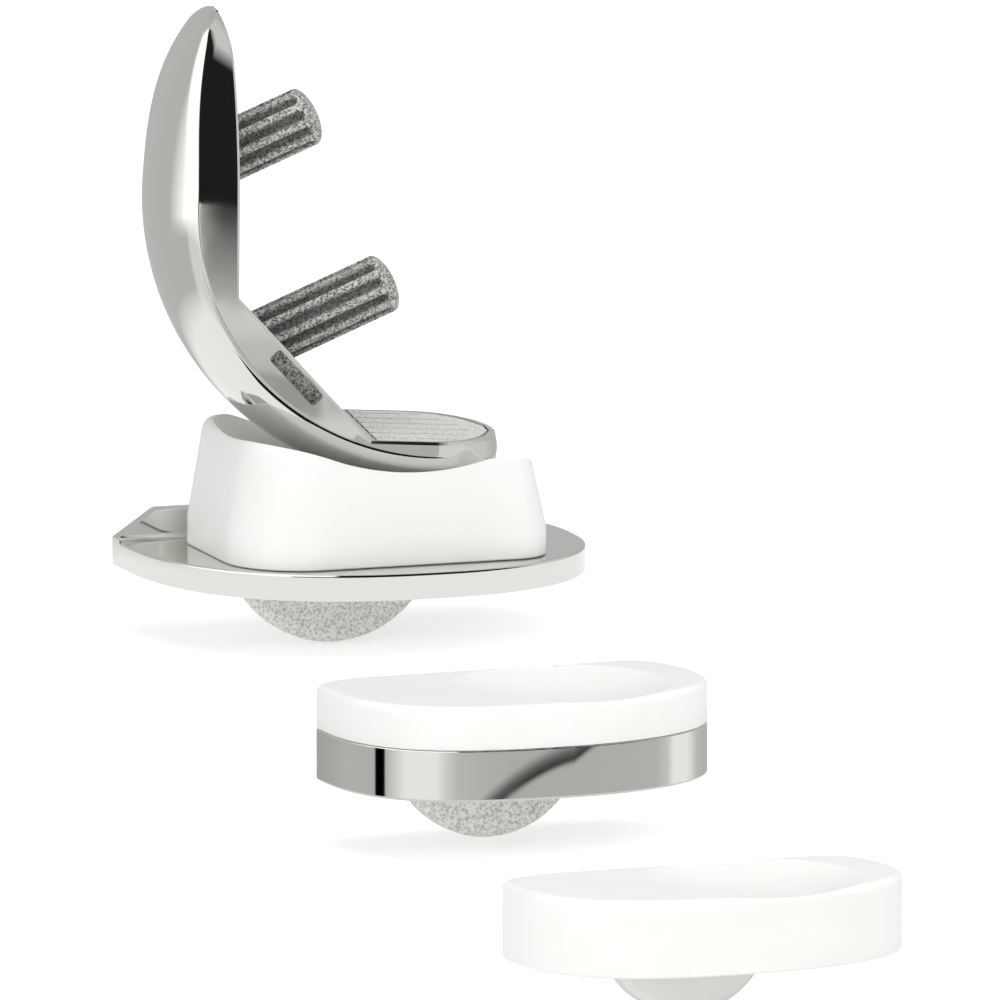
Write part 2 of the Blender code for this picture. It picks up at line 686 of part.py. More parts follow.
def stations():
    """Angles of the sections, close together at the two ends, with one at each meeting of facets."""
    close = 1 - np.cos(np.linspace(0, math.pi / 2, 12))
    tip = TIP_ANGLE + TIP_TAPER_LENGTH / CONDYLE_RADIUS * close
    end = FLANGE_END_ANGLE - FLANGE_TAPER_LENGTH / CONDYLE_RADIUS * close
    distal = np.linspace(tip[-1], CHAMFER_TOP_ANGLE, 10)
    chamfer = np.linspace(CHAMFER_TOP_ANGLE, CHAMFER_FOOT_ANGLE, 14)
    flange = np.linspace(CHAMFER_FOOT_ANGLE, end[-1], 6)
    return [*tip[:-1], *distal[:-1], *chamfer[:-1], *flange[:-1], *end[::-1]]


def facet_frame(facet):
    """Local x along the facet from its start, y lateral, z out of the bone side."""
    start, along = FACETS[facet]
    x = Vector((along.x, 0, along.y))
    y = Vector((0, 1, 0))
    frame = Matrix((x, y, x.cross(y))).transposed().to_4x4()
    frame.translation = (start.x, 0, start.y)
    return FEMORAL_FRAME @ frame


SIDE_RIMS = {"distal": FACET_RIM, "chamfer": POCKET_DEPTH + POCKET_BACKING, "flange": FLANGE_RIM}


def facet_outline(facet, inset):
    """The facet's plan without its rims, in x and y of its frame, inset further all round."""
    start, along = FACETS[facet]
    rim = (FACET_RIM + inset) / CONDYLE_RADIUS
    flange_rim = (FLANGE_RIM + inset) / CONDYLE_RADIUS
    distal_margin = (DISTAL_LINING_MARGIN + inset) / CONDYLE_RADIUS
    flange_margin = (FLANGE_LINING_MARGIN + inset) / CONDYLE_RADIUS
    first, last, shift = {
        "distal": (TIP_ANGLE + distal_margin, CHAMFER_TOP_ANGLE - rim, -distal_margin),
        "chamfer": (CHAMFER_TOP_ANGLE + rim, CHAMFER_FOOT_ANGLE - rim, 0),
        "flange": (CHAMFER_FOOT_ANGLE + flange_rim, FLANGE_END_ANGLE - flange_margin, flange_margin),
    }[facet]
    side = []
    for turn in np.linspace(0, math.pi, 20):
        angle = first + (last - first) * (1 - math.cos(turn)) / 2
        radius = inner_radius(angle, facet)
        point = Vector((radius * math.cos(angle), radius * math.sin(angle)))
        width = max(end_shares(angle + shift)[0], LINING_END_SHARE) * FEMORAL_WIDTH / 2
        side.append(((point - start).dot(along), width - SIDE_RIMS[facet] - inset))
    return [(x, -y) for x, y in side] + side[::-1]


def lining(facet):
    """The rough lining of a facet, and the recess in the shell that takes it."""
    frame = facet_frame(facet)
    recess = plate(facet_outline(facet, 0), -COATING_RECESS, CUT_OVERRUN, facet + "_recess")
    coat = plate(facet_outline(facet, SEAT_GAP), -COATING_THICKNESS, 0, facet + "_layer")
    return placed(coat, frame), placed(recess, frame)


def peg(facet, along, length, name):
    """A fluted peg with a domed end and a spigot, and the cutters for its spigot and its way out."""
    start, direction = FACETS[facet]
    root = start + direction * along
    frame = FEMORAL_FRAME @ Matrix.Translation((root.x, 0, root.y))
    frame = frame @ Matrix.Rotation(math.radians(90 - PEG_SLOPE_DEG), 4, "Y")
    radius = PEG_DIAMETER / 2
    shoulder = length - PEG_DOME_HEIGHT
    dome = [
        (radius * math.sin(t), shoulder + PEG_DOME_HEIGHT * math.cos(t))
        for t in np.linspace(0, math.pi / 2, 7)[1:]
    ]
    blank = turned([(0, length), *dome, (radius, -CUT_OVERRUN), (0, -CUT_OVERRUN)], 60, name + "_blank")
    flute_radius = FLUTE_WIDTH / 2
    tip = [
        (flute_radius * math.sin(t), shoulder - flute_radius * (1 - math.cos(t)))
        for t in np.linspace(0, math.pi / 2, 5)[1:]
    ]
    flute_foot = -2 * CUT_OVERRUN
    flute = turned([(0, shoulder), *tip, (flute_radius, flute_foot), (0, flute_foot)], 12, name + "_flute")
    flutes = bmesh.new()
    for turn in range(FLUTE_COUNT):
        copy = flute.data.copy()
        copy.transform(
            Matrix.Rotation(2 * math.pi * turn / FLUTE_COUNT, 4, "Z")
            @ Matrix.Translation((radius + flute_radius - FLUTE_DEPTH, 0, 0))
        )
        flutes.from_mesh(copy)
    data = bpy.data.meshes.new(name + "_flutes")
    flutes.to_mesh(data)
    flutes.free()
    half_reach = 4 * radius
    block = [(x * half_reach, y * half_reach) for x, y in ((-1, -1), (1, -1), (1, 1), (-1, 1))]
    below = placed(plate(block, -half_reach, -COATING_THICKNESS, name + "_below"), facet_frame(facet))
    below = placed(below, Matrix.Translation(frame.translation - facet_frame(facet).translation))
    spigot = rod(PEG_SPIGOT_DIAMETER / 2, -PEG_SPIGOT_LENGTH, CUT_OVERRUN / 4, 32, name + "_spigot")
    seat_foot = -PEG_SPIGOT_LENGTH - SEAT_GAP
    seat = rod(PEG_SPIGOT_DIAMETER / 2 + SEAT_GAP, seat_foot, CUT_OVERRUN, 32, name + "_seat")
    way = rod(radius + SEAT_GAP, -CUT_OVERRUN, CUT_OVERRUN, 60, name + "_way")
    combine(blank, [helper(data, name + "_flutes")], "DIFFERENCE")
    placed_blank = placed(settled(blank, name + "_fluted"), frame)
    combine(placed_blank, [below], "DIFFERENCE")
    combine(placed_blank, [placed(spigot, frame)], "UNION")
    return settled(placed_blank, name + "_whole"), placed(seat, frame), placed(way, frame)


# Femoral shell, its linings and its pegs

distal_coat, distal_recess = lining("distal")
chamfer_coat, chamfer_recess = lining("chamfer")
flange_coat, flange_recess = lining("flange")
anterior_along = -(ANTERIOR_PEG_HEIGHT + CHAMFER_START_HEIGHT)
anterior_peg, anterior_seat, anterior_way = peg(
    "distal", anterior_along, ANTERIOR_PEG_LENGTH, "anterior_peg"
)
posterior_peg, posterior_seat, posterior_way = peg(
    "chamfer", POSTERIOR_PEG_ALONG_CHAMFER, POSTERIOR_PEG_LENGTH, "posterior_peg"
)
grooves = []
flange_frame = facet_frame("flange")
for index, groove_length in enumerate(GROOVE_LENGTHS):
    groove_y = (index - (len(GROOVE_LENGTHS) - 1) / 2) * GROOVE_PITCH
    near = groove_y - GROOVE_WIDTH / 2
    far = groove_y + GROOVE_WIDTH / 2
    outline = [(-CUT_OVERRUN, near), (groove_length, near), (groove_length, far), (-CUT_OVERRUN, far)]
    groove = plate(outline, -GROOVE_DEPTH, CUT_OVERRUN / 4, "groove_" + str(index + 1))
    grooves.append(placed(groove, flange_frame))
pockets = []
pocket_top = -POCKET_RIM
pocket_foot = -POCKET_RIM - POCKET_WIDTH
pocket_outline = (
    arc((POCKET_START + POCKET_CORNER, pocket_foot + POCKET_CORNER), POCKET_CORNER, 180, 270, 4)
    + arc((POCKET_END - POCKET_CORNER, pocket_foot + POCKET_CORNER), POCKET_CORNER, 270, 360, 4)
    + arc((POCKET_END - POCKET_CORNER, pocket_top - POCKET_CORNER), POCKET_CORNER, 0, 90, 4)
    + arc((POCKET_START + POCKET_CORNER, pocket_top - POCKET_CORNER), POCKET_CORNER, 90, 180, 4)
)
side_face = FEMORAL_WIDTH / 2
for side, near, far in (
    ("medial", -side_face - CUT_OVERRUN, POCKET_DEPTH - side_face),
    ("lateral", side_face - POCKET_DEPTH, side_face + CUT_OVERRUN),
):
    pocket = side_plate(pocket_outline, near, far, side + "_pocket")
    pockets.append(placed(pocket, facet_frame("chamfer")))
shell = placed(loft([section(angle) for angle in stations()], "shell_blank"), FEMORAL_FRAME)
cuts = [distal_recess, chamfer_recess, flange_recess, anterior_seat, posterior_seat, *pockets]
combine(shell, cuts, "DIFFERENCE")
keep(settled(shell, "shell"), "femoral_shell", POLISHED, FLEXION_AXIS)
combine(distal_coat, [anterior_way], "DIFFERENCE")
combine(chamfer_coat, [posterior_way], "DIFFERENCE")
combine(flange_coat, grooves, "DIFFERENCE")
keep(settled(distal_coat, "distal"), "distal_coating", BLASTED, FLEXION_AXIS)
keep(settled(chamfer_coat, "chamfer"), "chamfer_coating", BLASTED, FLEXION_AXIS)
keep(settled(flange_coat, "flange"), "flange_coating", BLASTED, FLEXION_AXIS)
keep(anterior_peg, "anterior_peg", BLASTED, FLEXION_AXIS)
keep(posterior_peg, "posterior_peg", BLASTED, FLEXION_AXIS)


def shallow_dish(top, name):
    """The cutter of a shallow spherical dish in a plateau's top face."""
    centre = Vector((SHALLOW_DISH_PLACE_X, 0, top - SHALLOW_DISH_DEPTH + SHALLOW_DISH_RADIUS))
    return ball(SHALLOW_DISH_RADIUS, centre, 96, 64, name)


# Fixed-bearing tibial component: metal pan with its porous layer, and the insert that lifts out

FIXED_FRAME = place(FIXED_PLACE_X, FIXED_PLACE_Y, FIXED_YAW_DEG)
FIXED_OUTLINE = plateau_outline(FIXED_LENGTH, FIXED_WIDTH, FIXED_PLAN_SHARES, FIXED_PLAN_EXPONENTS)
fixed_coating, fixed_recess, fixed_core = bone_side(
    FIXED_OUTLINE, FIXED_KEEL_PLACE_X, FIXED_KEEL_RADIUS, FIXED_KEEL_DEPTH, "fixed_coating"
)
fixed_tray = rounded_slab(FIXED_OUTLINE, 0, FIXED_TRAY_HEIGHT, TRAY_EDGE, TRAY_EDGE, "fixed_pan")
pan_top = FIXED_TRAY_HEIGHT + CUT_OVERRUN
pan_hollow = plate(inset_outline(FIXED_OUTLINE, FIXED_RIM), FIXED_FLOOR, pan_top, "fixed_hollow")
combine(fixed_tray, [pan_hollow, fixed_recess], "DIFFERENCE")
combine(fixed_tray, [fixed_core], "UNION")
keep(placed(settled(fixed_tray, "pan"), FIXED_FRAME), "fixed_tray", POLISHED)
keep(placed(fixed_coating, FIXED_FRAME), "fixed_coating", POROUS)
insert_foot = FIXED_FLOOR + SEAT_GAP
insert_step = FIXED_TRAY_HEIGHT + SEAT_GAP
insert_top = FIXED_TRAY_HEIGHT + FIXED_INSERT_HEIGHT
insert_levels = [(FIXED_RIM + SEAT_GAP, insert_foot), (FIXED_RIM + SEAT_GAP, insert_step)]
insert_levels += [(inset, insert_step + drop) for inset, drop in edge_rounding(TRAY_EDGE, 3)[::-1]]
insert_levels += [(inset, insert_top - drop) for inset, drop in edge_rounding(PLATEAU_EDGE, 5)]
insert_rings = [[(x, y, z) for x, y in inset_outline(FIXED_OUTLINE, inset)] for inset, z in insert_levels]
insert = loft(insert_rings, "insert_block")
combine(insert, [shallow_dish(insert_top, "insert_dish")], "DIFFERENCE")
insert_seat = Vector((FIXED_PLACE_X, FIXED_PLACE_Y, insert_foot))
keep(placed(settled(insert, "insert"), FIXED_FRAME), "fixed_insert", POLYETHYLENE, insert_seat)

# All-polyethylene tibial component, its keel moulded in one with it

ALL_POLY_FRAME = place(ALL_POLY_PLACE_X, ALL_POLY_PLACE_Y, ALL_POLY_YAW_DEG)
all_poly_outline = plateau_outline(
    ALL_POLY_LENGTH, ALL_POLY_WIDTH, FIXED_PLAN_SHARES, FIXED_PLAN_EXPONENTS
)
all_poly = rounded_slab(all_poly_outline, 0, ALL_POLY_HEIGHT, TRAY_EDGE, PLATEAU_EDGE, "all_poly_block")
all_poly_keel = fin(
    ALL_POLY_KEEL_PLACE_X,
    ALL_POLY_KEEL_RADIUS,
    ALL_POLY_KEEL_DEPTH,
    KEEL_THICKNESS,
    KEEL_ROUNDING,
    TRAY_EDGE + PLATEAU_EDGE,
    "all_poly_keel",
)
combine(all_poly, [all_poly_keel], "UNION")
combine(all_poly, [shallow_dish(ALL_POLY_HEIGHT, "all_poly_dish")], "DIFFERENCE")
keep(placed(settled(all_poly, "all_poly"), ALL_POLY_FRAME), "all_poly_tibia", POLYETHYLENE)
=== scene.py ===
"""Unicompartmental knee replacement set, dressed for its photograph: metres, the frame of the CAD model."""

import math

import bmesh
import bpy
import numpy as np
from mathutils import Matrix, Vector


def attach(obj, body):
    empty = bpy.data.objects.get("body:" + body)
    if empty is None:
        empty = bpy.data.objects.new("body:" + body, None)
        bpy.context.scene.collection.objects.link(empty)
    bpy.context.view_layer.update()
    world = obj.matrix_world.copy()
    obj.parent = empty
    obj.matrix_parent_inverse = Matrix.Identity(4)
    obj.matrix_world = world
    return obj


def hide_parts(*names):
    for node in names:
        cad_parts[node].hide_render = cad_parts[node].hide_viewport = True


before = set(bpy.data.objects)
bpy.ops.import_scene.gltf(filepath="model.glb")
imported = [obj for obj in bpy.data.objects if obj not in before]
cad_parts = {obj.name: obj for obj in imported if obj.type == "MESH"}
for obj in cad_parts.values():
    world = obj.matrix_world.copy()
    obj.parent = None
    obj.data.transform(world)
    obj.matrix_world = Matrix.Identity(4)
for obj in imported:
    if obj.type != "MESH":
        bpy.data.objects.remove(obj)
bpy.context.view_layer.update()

# ---- Camera
# A long lens far off, so that the three components keep nearly one scale. It stands a little above
# the trays and looks at the bowed side of the tibial tray from the front.

PHOTO_WIDTH = 1000
PIXELS_PER_METRE = 9424
CAMERA_AZIMUTH = math.radians(-18.93)
CAMERA_ELEVATION = math.radians(9.78)
CAMERA_DISTANCE = 4.9
ORIGIN_PIXEL = (395.3, 588.6)
SENSOR_WIDTH = 36

camera_back = Vector(
    (
        math.sin(CAMERA_AZIMUTH) * math.cos(CAMERA_ELEVATION),
        -math.cos(CAMERA_AZIMUTH) * math.cos(CAMERA_ELEVATION),
        math.sin(CAMERA_ELEVATION),
    )
)
camera_right = Vector((math.cos(CAMERA_AZIMUTH), math.sin(CAMERA_AZIMUTH), 0))
camera_up = camera_back.cross(camera_right)
camera_target = (
    camera_right * (PHOTO_WIDTH / 2 - ORIGIN_PIXEL[0]) / PIXELS_PER_METRE
    + camera_up * (ORIGIN_PIXEL[1] - PHOTO_WIDTH / 2) / PIXELS_PER_METRE
)
lens = bpy.data.cameras.new("camera")
lens.sensor_width = SENSOR_WIDTH
lens.lens = SENSOR_WIDTH * CAMERA_DISTANCE * PIXELS_PER_METRE / PHOTO_WIDTH
lens.clip_end = 40
camera = bpy.data.objects.new("camera", lens)
camera.matrix_world = Matrix.Translation(camera_target + camera_back * CAMERA_DISTANCE) @ Matrix(
    (camera_right, camera_up, camera_back)
).transposed().to_4x4()
bpy.context.scene.collection.objects.link(camera)
bpy.context.scene.camera = camera
bpy.context.scene.view_settings.view_transform = "Standard"


# ---- Floor and light
# A pale sweep under the keels and plain soft studio light. Camera and glass rays meet plain white.
# Mirror rays meet greys painted round the set and two cards, which give the metal its dark edges.


def linear(hex_colour):
    """An sRGB hex colour as linear red, green, blue and alpha."""
    channels = [int(hex_colour[i : i + 2], 16) / 255 for i in (1, 3, 5)]
    return tuple(c / 12.92 if c <= 0.04045 else ((c + 0.055) / 1.055) ** 2.4 for c in channels) + (1,)


def add(tree, kind, inputs=None, **settings):
    """Adds a node, sets its settings and gives each input a value or a link."""
    node = tree.nodes.new(kind)
    for key, value in settings.items():
        setattr(node, key, value)
    for socket, source in (inputs or {}).items():
        if isinstance(source, bpy.types.NodeSocket):
            tree.links.new(source, node.inputs[socket])
        else:
            node.inputs[socket].default_value = source
    return node


def material(name):
    """A new node material with nothing in it but its output."""
    made = bpy.data.materials.new(name)
    made.use_nodes = True
    made.node_tree.nodes.clear()
    return made, made.node_tree, made.node_tree.nodes.new("ShaderNodeOutputMaterial")


def ramp(tree, value, stops):
    """A colour ramp over grey levels, its stops given as place and linear grey."""
    node = add(tree, "ShaderNodeValToRGB", {0: value})
    while len(node.color_ramp.elements) < len(stops):
        node.color_ramp.elements.new(0.5)
    for element, (place, grey) in zip(node.color_ramp.elements, stops):
        element.position = place
        element.color = (grey, grey, grey, 1)
    return node.outputs["Color"]


def turn_share(tree, vector):
    """Where a direction or place lies round the set: 0 behind it, a quarter left, a half in front."""
    parts = add(tree, "ShaderNodeSeparateXYZ", {0: vector})
    front = add(tree, "ShaderNodeMath", {0: parts.outputs["Y"], 1: -1}, operation="MULTIPLY")
    angle = add(tree, "ShaderNodeMath", {0: parts.outputs["X"], 1: front.outputs[0]}, operation="ARCTAN2")
    scale = {0: angle.outputs[0], 1: 1 / (2 * math.pi), 2: 0.5}
    return add(tree, "ShaderNodeMath", scale, operation="MULTIPLY_ADD").outputs[0], parts


def spread(tree, value, start, end, low=0, high=1):
    """A value carried from one range to another and held at its ends."""
    return add(tree, "ShaderNodeMapRange", {0: value, 1: start, 2: end, 3: low, 4: high}).outputs[0]


def by_ray(tree, for_light, for_camera, for_mirror):
    """One shader for the light's own bounces, one for camera and glass rays, one for mirror rays."""
    rays = add(tree, "ShaderNodeLightPath").outputs
    straight = {0: rays["Is Camera Ray"], 1: rays["Is Transmission Ray"]}
    seen = add(tree, "ShaderNodeMath", straight, use_clamp=True)
    pair = {0: seen.outputs[0], 1: for_light.outputs[0], 2: for_camera.outputs[0]}
    plain = add(tree, "ShaderNodeMixShader", pair)
    pair = {0: rays["Is Glossy Ray"], 1: plain.outputs[0], 2: for_mirror.outputs[0]}
    return add(tree, "ShaderNodeMixShader", pair).outputs[0]


WHITE = (1, 1, 1, 1)
# Greys round the set that only mirror rays see, as painted reflections: brighter than white on the left, black from the
# front to the front right, mid greys elsewhere.
PAINTED_REFLECTION_ROUND = [
    (0.0, 0.52), (0.03, 0.56), (0.135, 0.56), (0.185, 1.35), (0.44, 1.35), (0.452, 0.015), (0.64, 0.015),
    (0.70, 0.7), (0.78, 0.7), (0.86, 0.52), (1.0, 0.52),
]
FLOOR_HEIGHT = -0.0069
FLOOR_REACH = 3.0
floor_mesh = bpy.data.meshes.new("floor")
floor_mesh.from_pydata(
    [(x * FLOOR_REACH, y * FLOOR_REACH, FLOOR_HEIGHT) for x, y in ((-1, -1), (1, -1), (1, 1), (-1, 1))],
    [],
    [(0, 1, 2, 3)],
)
floor = bpy.data.objects.new("floor", floor_mesh)
bpy.context.scene.collection.objects.link(floor)
floor_paint, tree, output = material("white_sweep")
place = add(tree, "ShaderNodeTexCoord").outputs["Object"]
lit = add(tree, "ShaderNodeBsdfDiffuse", {"Color": linear("#F4F4F4")})
glow = add(tree, "ShaderNodeEmission", {"Color": WHITE, "Strength": 0.42})
both = add(tree, "ShaderNodeAddShader", {0: lit.outputs[0], 1: glow.outputs[0]})
# For mirror rays the floor is painted as a reflection: white close round the middle, greys from darker behind to paler
# in front further out, and the studio's painted greys beyond.
share, parts = turn_share(tree, place)
near_reflection_grey = spread(tree, parts.outputs["Y"], 0.03, -0.01, 0.56, 0.80)
reach = add(tree, "ShaderNodeVectorMath", {0: place}, operation="LENGTH").outputs["Value"]
close_reflection_grey = spread(tree, reach, 0.075, 0.1, 1.02, near_reflection_grey)
greys = {0: spread(tree, reach, 0.19, 0.29), 6: close_reflection_grey, 7: ramp(tree, share, PAINTED_REFLECTION_ROUND)}
around = add(tree, "ShaderNodeMix", greys, data_type="RGBA")
painted_reflection = add(tree, "ShaderNodeEmission", {"Color": around.outputs[2]})
tree.links.new(by_ray(tree, lit, both, painted_reflection), output.inputs["Surface"])
floor_mesh.materials.append(floor_paint)

world = bpy.data.worlds.new("studio")
bpy.context.scene.world = world
world.use_nodes = True
tree = world.node_tree
tree.nodes.clear()
place = add(tree, "ShaderNodeTexCoord").outputs["Generated"]
fill = add(tree, "ShaderNodeBackground", {"Color": WHITE, "Strength": 0.52})
white = add(tree, "ShaderNodeBackground", {"Color": WHITE, "Strength": 1.0})
# Mirror rays see the painted greys round the set: painted reflections in the polished metal.
share, parts = turn_share(tree, place)
painted_reflection = add(tree, "ShaderNodeBackground", {"Color": ramp(tree, share, PAINTED_REFLECTION_ROUND)})
output = tree.nodes.new("ShaderNodeOutputWorld")
tree.links.new(by_ray(tree, fill, white, painted_reflection), output.inputs["Surface"])


def card(points, faces, name, colour_of):
    """A painted card that only mirrors see: it glows as a painted reflection and casts no light or shadow."""
    mesh = bpy.data.meshes.new(name)
    mesh.from_pydata(points, [], faces)
    made = bpy.data.objects.new(name, mesh)
    bpy.context.scene.collection.objects.link(made)
    paint, tree, output = material(name)
    place = add(tree, "ShaderNodeTexCoord")
    shine = add(tree, "ShaderNodeEmission", {"Color": colour_of(tree, place.outputs["Object"])})
    tree.links.new(shine.outputs[0], output.inputs["Surface"])
    mesh.materials.append(paint)
    made.visible_camera = False
    made.visible_diffuse = False
    made.visible_transmission = False
    made.visible_shadow = False
    return made


def ring_reflection_grey(tree, place):
    """Painted reflections round the second tray, seen only in its metal: pale bands left and right, one black strip and
    one slanting one.
    """
    share, parts = turn_share(tree, place)
    level = ramp(
        tree,
        share,
        [
            (0.125, 0.45), (0.18, 0.55), (0.2505, 0.54), (0.253, 0.0), (0.2735, 0.0), (0.276, 0.56),
            (0.30, 0.8), (0.3195, 1.0), (0.382, 1.0), (0.40, 0.78), (0.42, 0.6), (0.50, 0.53),
            (0.60, 0.54), (0.668, 0.56), (0.69, 0.7), (0.70, 1.0), (0.7323, 1.0), (0.765, 0.6), (0.80, 0.52),
        ],
    )
    climb = {0: parts.outputs["Z"], 1: -15.7, 2: share}
    slant = add(tree, "ShaderNodeMath", climb, operation="MULTIPLY_ADD").outputs[0]
    dark = ramp(tree, slant, [(0.535, 1.0), (0.555, 0.3), (0.571, 0.05), (0.580, 1.0)])
    layers = {0: 1.0, 6: level, 7: dark}
    return add(tree, "ShaderNodeMix", layers, data_type="RGBA", blend_type="MULTIPLY").outputs[2]


# A ring card round the second tray, seen only in its polished metal: a painted reflection.
RING_RADIUS = 0.042
RING_HEIGHT = 0.0087
RING_FOOT = -0.006678
RING_STEPS = 144
ring_turn = np.linspace(0, 2 * math.pi, RING_STEPS + 1)
ring_plan = np.stack([np.sin(ring_turn), np.cos(ring_turn), 0 * ring_turn], axis=-1)
ring_foot = ring_plan * RING_RADIUS + (0, 0, RING_FOOT)
ring_points = np.concatenate([ring_foot, ring_foot + (0, 0, RING_HEIGHT)])
ring_faces = [(i, i + 1, i + RING_STEPS + 2, i + RING_STEPS + 1) for i in range(RING_STEPS)]
ring = card(ring_points.tolist(), ring_faces, "ring_reflection_card", ring_reflection_grey)
ring.location = (-0.0247, -0.11405, 0)

# A dark card in front of the runner, seen only by mirror rays: a painted dark reflection.
STRIP_Y = -0.022
STRIP_FOOT = 0.0005


def strip_reflection_grey(tree, place):
    """Black with a soft lower edge: a painted dark reflection in the polished runner."""
    parts = add(tree, "ShaderNodeSeparateXYZ", {0: place})
    height = spread(tree, parts.outputs["Z"], STRIP_FOOT, 0.0095)
    return ramp(tree, height, [(0.0, 0.5), (0.15, 0.01)])


strip = [(-0.03, STRIP_FOOT), (0.02, STRIP_FOOT), (0.02, 0.0070), (-0.03, 0.0125)]
card([(x, STRIP_Y, z) for x, z in strip], [(0, 1, 2, 3)], "dark_reflection_strip", strip_reflection_grey)

STUDIO_MIDDLE = Vector((0, -0.06, 0.02))


def softbox(name, azimuth, elevation, distance, width, height, watts):
    """An area lamp that faces the middle of the set from an azimuth and elevation in degrees."""
    a = math.radians(azimuth)
    e = math.radians(elevation)
    towards = Vector((math.sin(a) * math.cos(e), -math.cos(a) * math.cos(e), math.sin(e)))
    lamp = bpy.data.lights.new(name, "AREA")
    lamp.shape = "RECTANGLE"
    lamp.size = width
    lamp.size_y = height
    lamp.energy = watts
    made = bpy.data.objects.new(name, lamp)
    made.location = STUDIO_MIDDLE + towards * distance
    made.rotation_euler = towards.to_track_quat("Z", "Y").to_euler()
    made.visible_glossy = False
    bpy.context.scene.collection.objects.link(made)


softbox("overhead", -10, 75, 1.2, 1.0, 1.0, 6.2)
softbox("key", 35, 35, 1.2, 0.7, 0.9, 4.1)
softbox("front_fill", -55, 12, 1.3, 0.7, 0.6, 4.0)


# ---- Polished runner of the femoral component
# One cobalt-chrome casting that rolls on the bearing: a mirror-polished crown with rounded sides, two
# sawn-flat arms and a chamfer inside, where shallow beds take the rough layers, and a slot in each side.

FLEXION_AXIS = Vector((0.00724, 0.0091, 0.0408))
FEMORAL_FRAME = (
    Matrix.Translation(FLEXION_AXIS)
    @ Matrix.Rotation(math.radians(-9), 4, "Z")
    @ Matrix.Rotation(math.radians(3), 4, "Y")
)
RUNNER_RADIUS = 0.0310
CROWN_RADIUS = 0.0185
RUNNER_WIDTH = 0.0210
SIDE_ROUNDING = 0.0019
TIP_ANGLE = math.radians(141.7)
END_ANGLE = math.radians(287.3)
TIP_TAPER = 0.0210
END_TAPER = 0.0095
TAPER_EXPONENT = 2.1
TIP_ROUNDING = 0.003
END_ROUNDING = 0.006
LEAST_SHARE = 0.12
FLARE = 0.00115
FLARE_START = math.radians(179)
FLARE_SPAN = math.radians(29)
BONE_EDGE = 0.0003
FACET_STARTS = np.array([(-0.0220, -0.010199), (-0.0220, -0.010199), (-0.0069998, -0.0252)])
slope = math.radians(2.5)
chamfer_way = FACET_STARTS[2] - FACET_STARTS[1]
chamfer_way /= np.linalg.norm(chamfer_way)
FACET_WAYS = np.array([(math.sin(slope), -math.cos(slope)), chamfer_way, (1, 0)])
FACET_BREAKS = [math.atan2(z, x) + 2 * math.pi for x, z in FACET_STARTS[1:]]


def bone_side_radius(angles, facets):
    """Distance from the flexion axis to the facet's plane along each angle: the plane's distance from
    the axis over the cosine between the ray and the plane's normal."""
    normals = np.stack([-FACET_WAYS[facets, 1], FACET_WAYS[facets, 0]], axis=-1)
    rays = np.stack([np.cos(angles), np.sin(angles)], axis=-1)
    return (normals * FACET_STARTS[facets]).sum(-1) / (normals * rays).sum(-1)


def width_shares(angles):
    """Share of the full width left at each angle: superellipse quarters towards the tip and the end."""
    shares = np.ones_like(angles)
    for end, sense, taper in ((TIP_ANGLE, 1, TIP_TAPER), (END_ANGLE, -1, END_TAPER)):
        along = np.clip(RUNNER_RADIUS * (angles - end) * sense / taper, 0, 1)
        shares *= (1 - (1 - along) ** TAPER_EXPONENT) ** (1 / TAPER_EXPONENT)
    return shares


def closed_grid(rings, name):
    """A mesh over a grid of closed rings, its two ends shut by one face each."""
    count, size = rings.shape[:2]
    corner = np.arange(count * size).reshape(count, size)
    ahead = np.roll(corner, -1, axis=1)
    quads = np.stack([corner[:-1], ahead[:-1], ahead[1:], corner[1:]], axis=-1).reshape(-1, 4)
    mesh = bpy.data.meshes.new(name)
    mesh.from_pydata(rings.reshape(-1, 3), [], quads.tolist() + [corner[0].tolist(), corner[-1].tolist()])
    work = bmesh.new()
    work.from_mesh(mesh)
    bmesh.ops.recalc_face_normals(work, faces=work.faces)
    work.to_mesh(mesh)
    work.free()
    made = bpy.data.objects.new(name, mesh)
    bpy.context.scene.collection.objects.link(made)
    return made


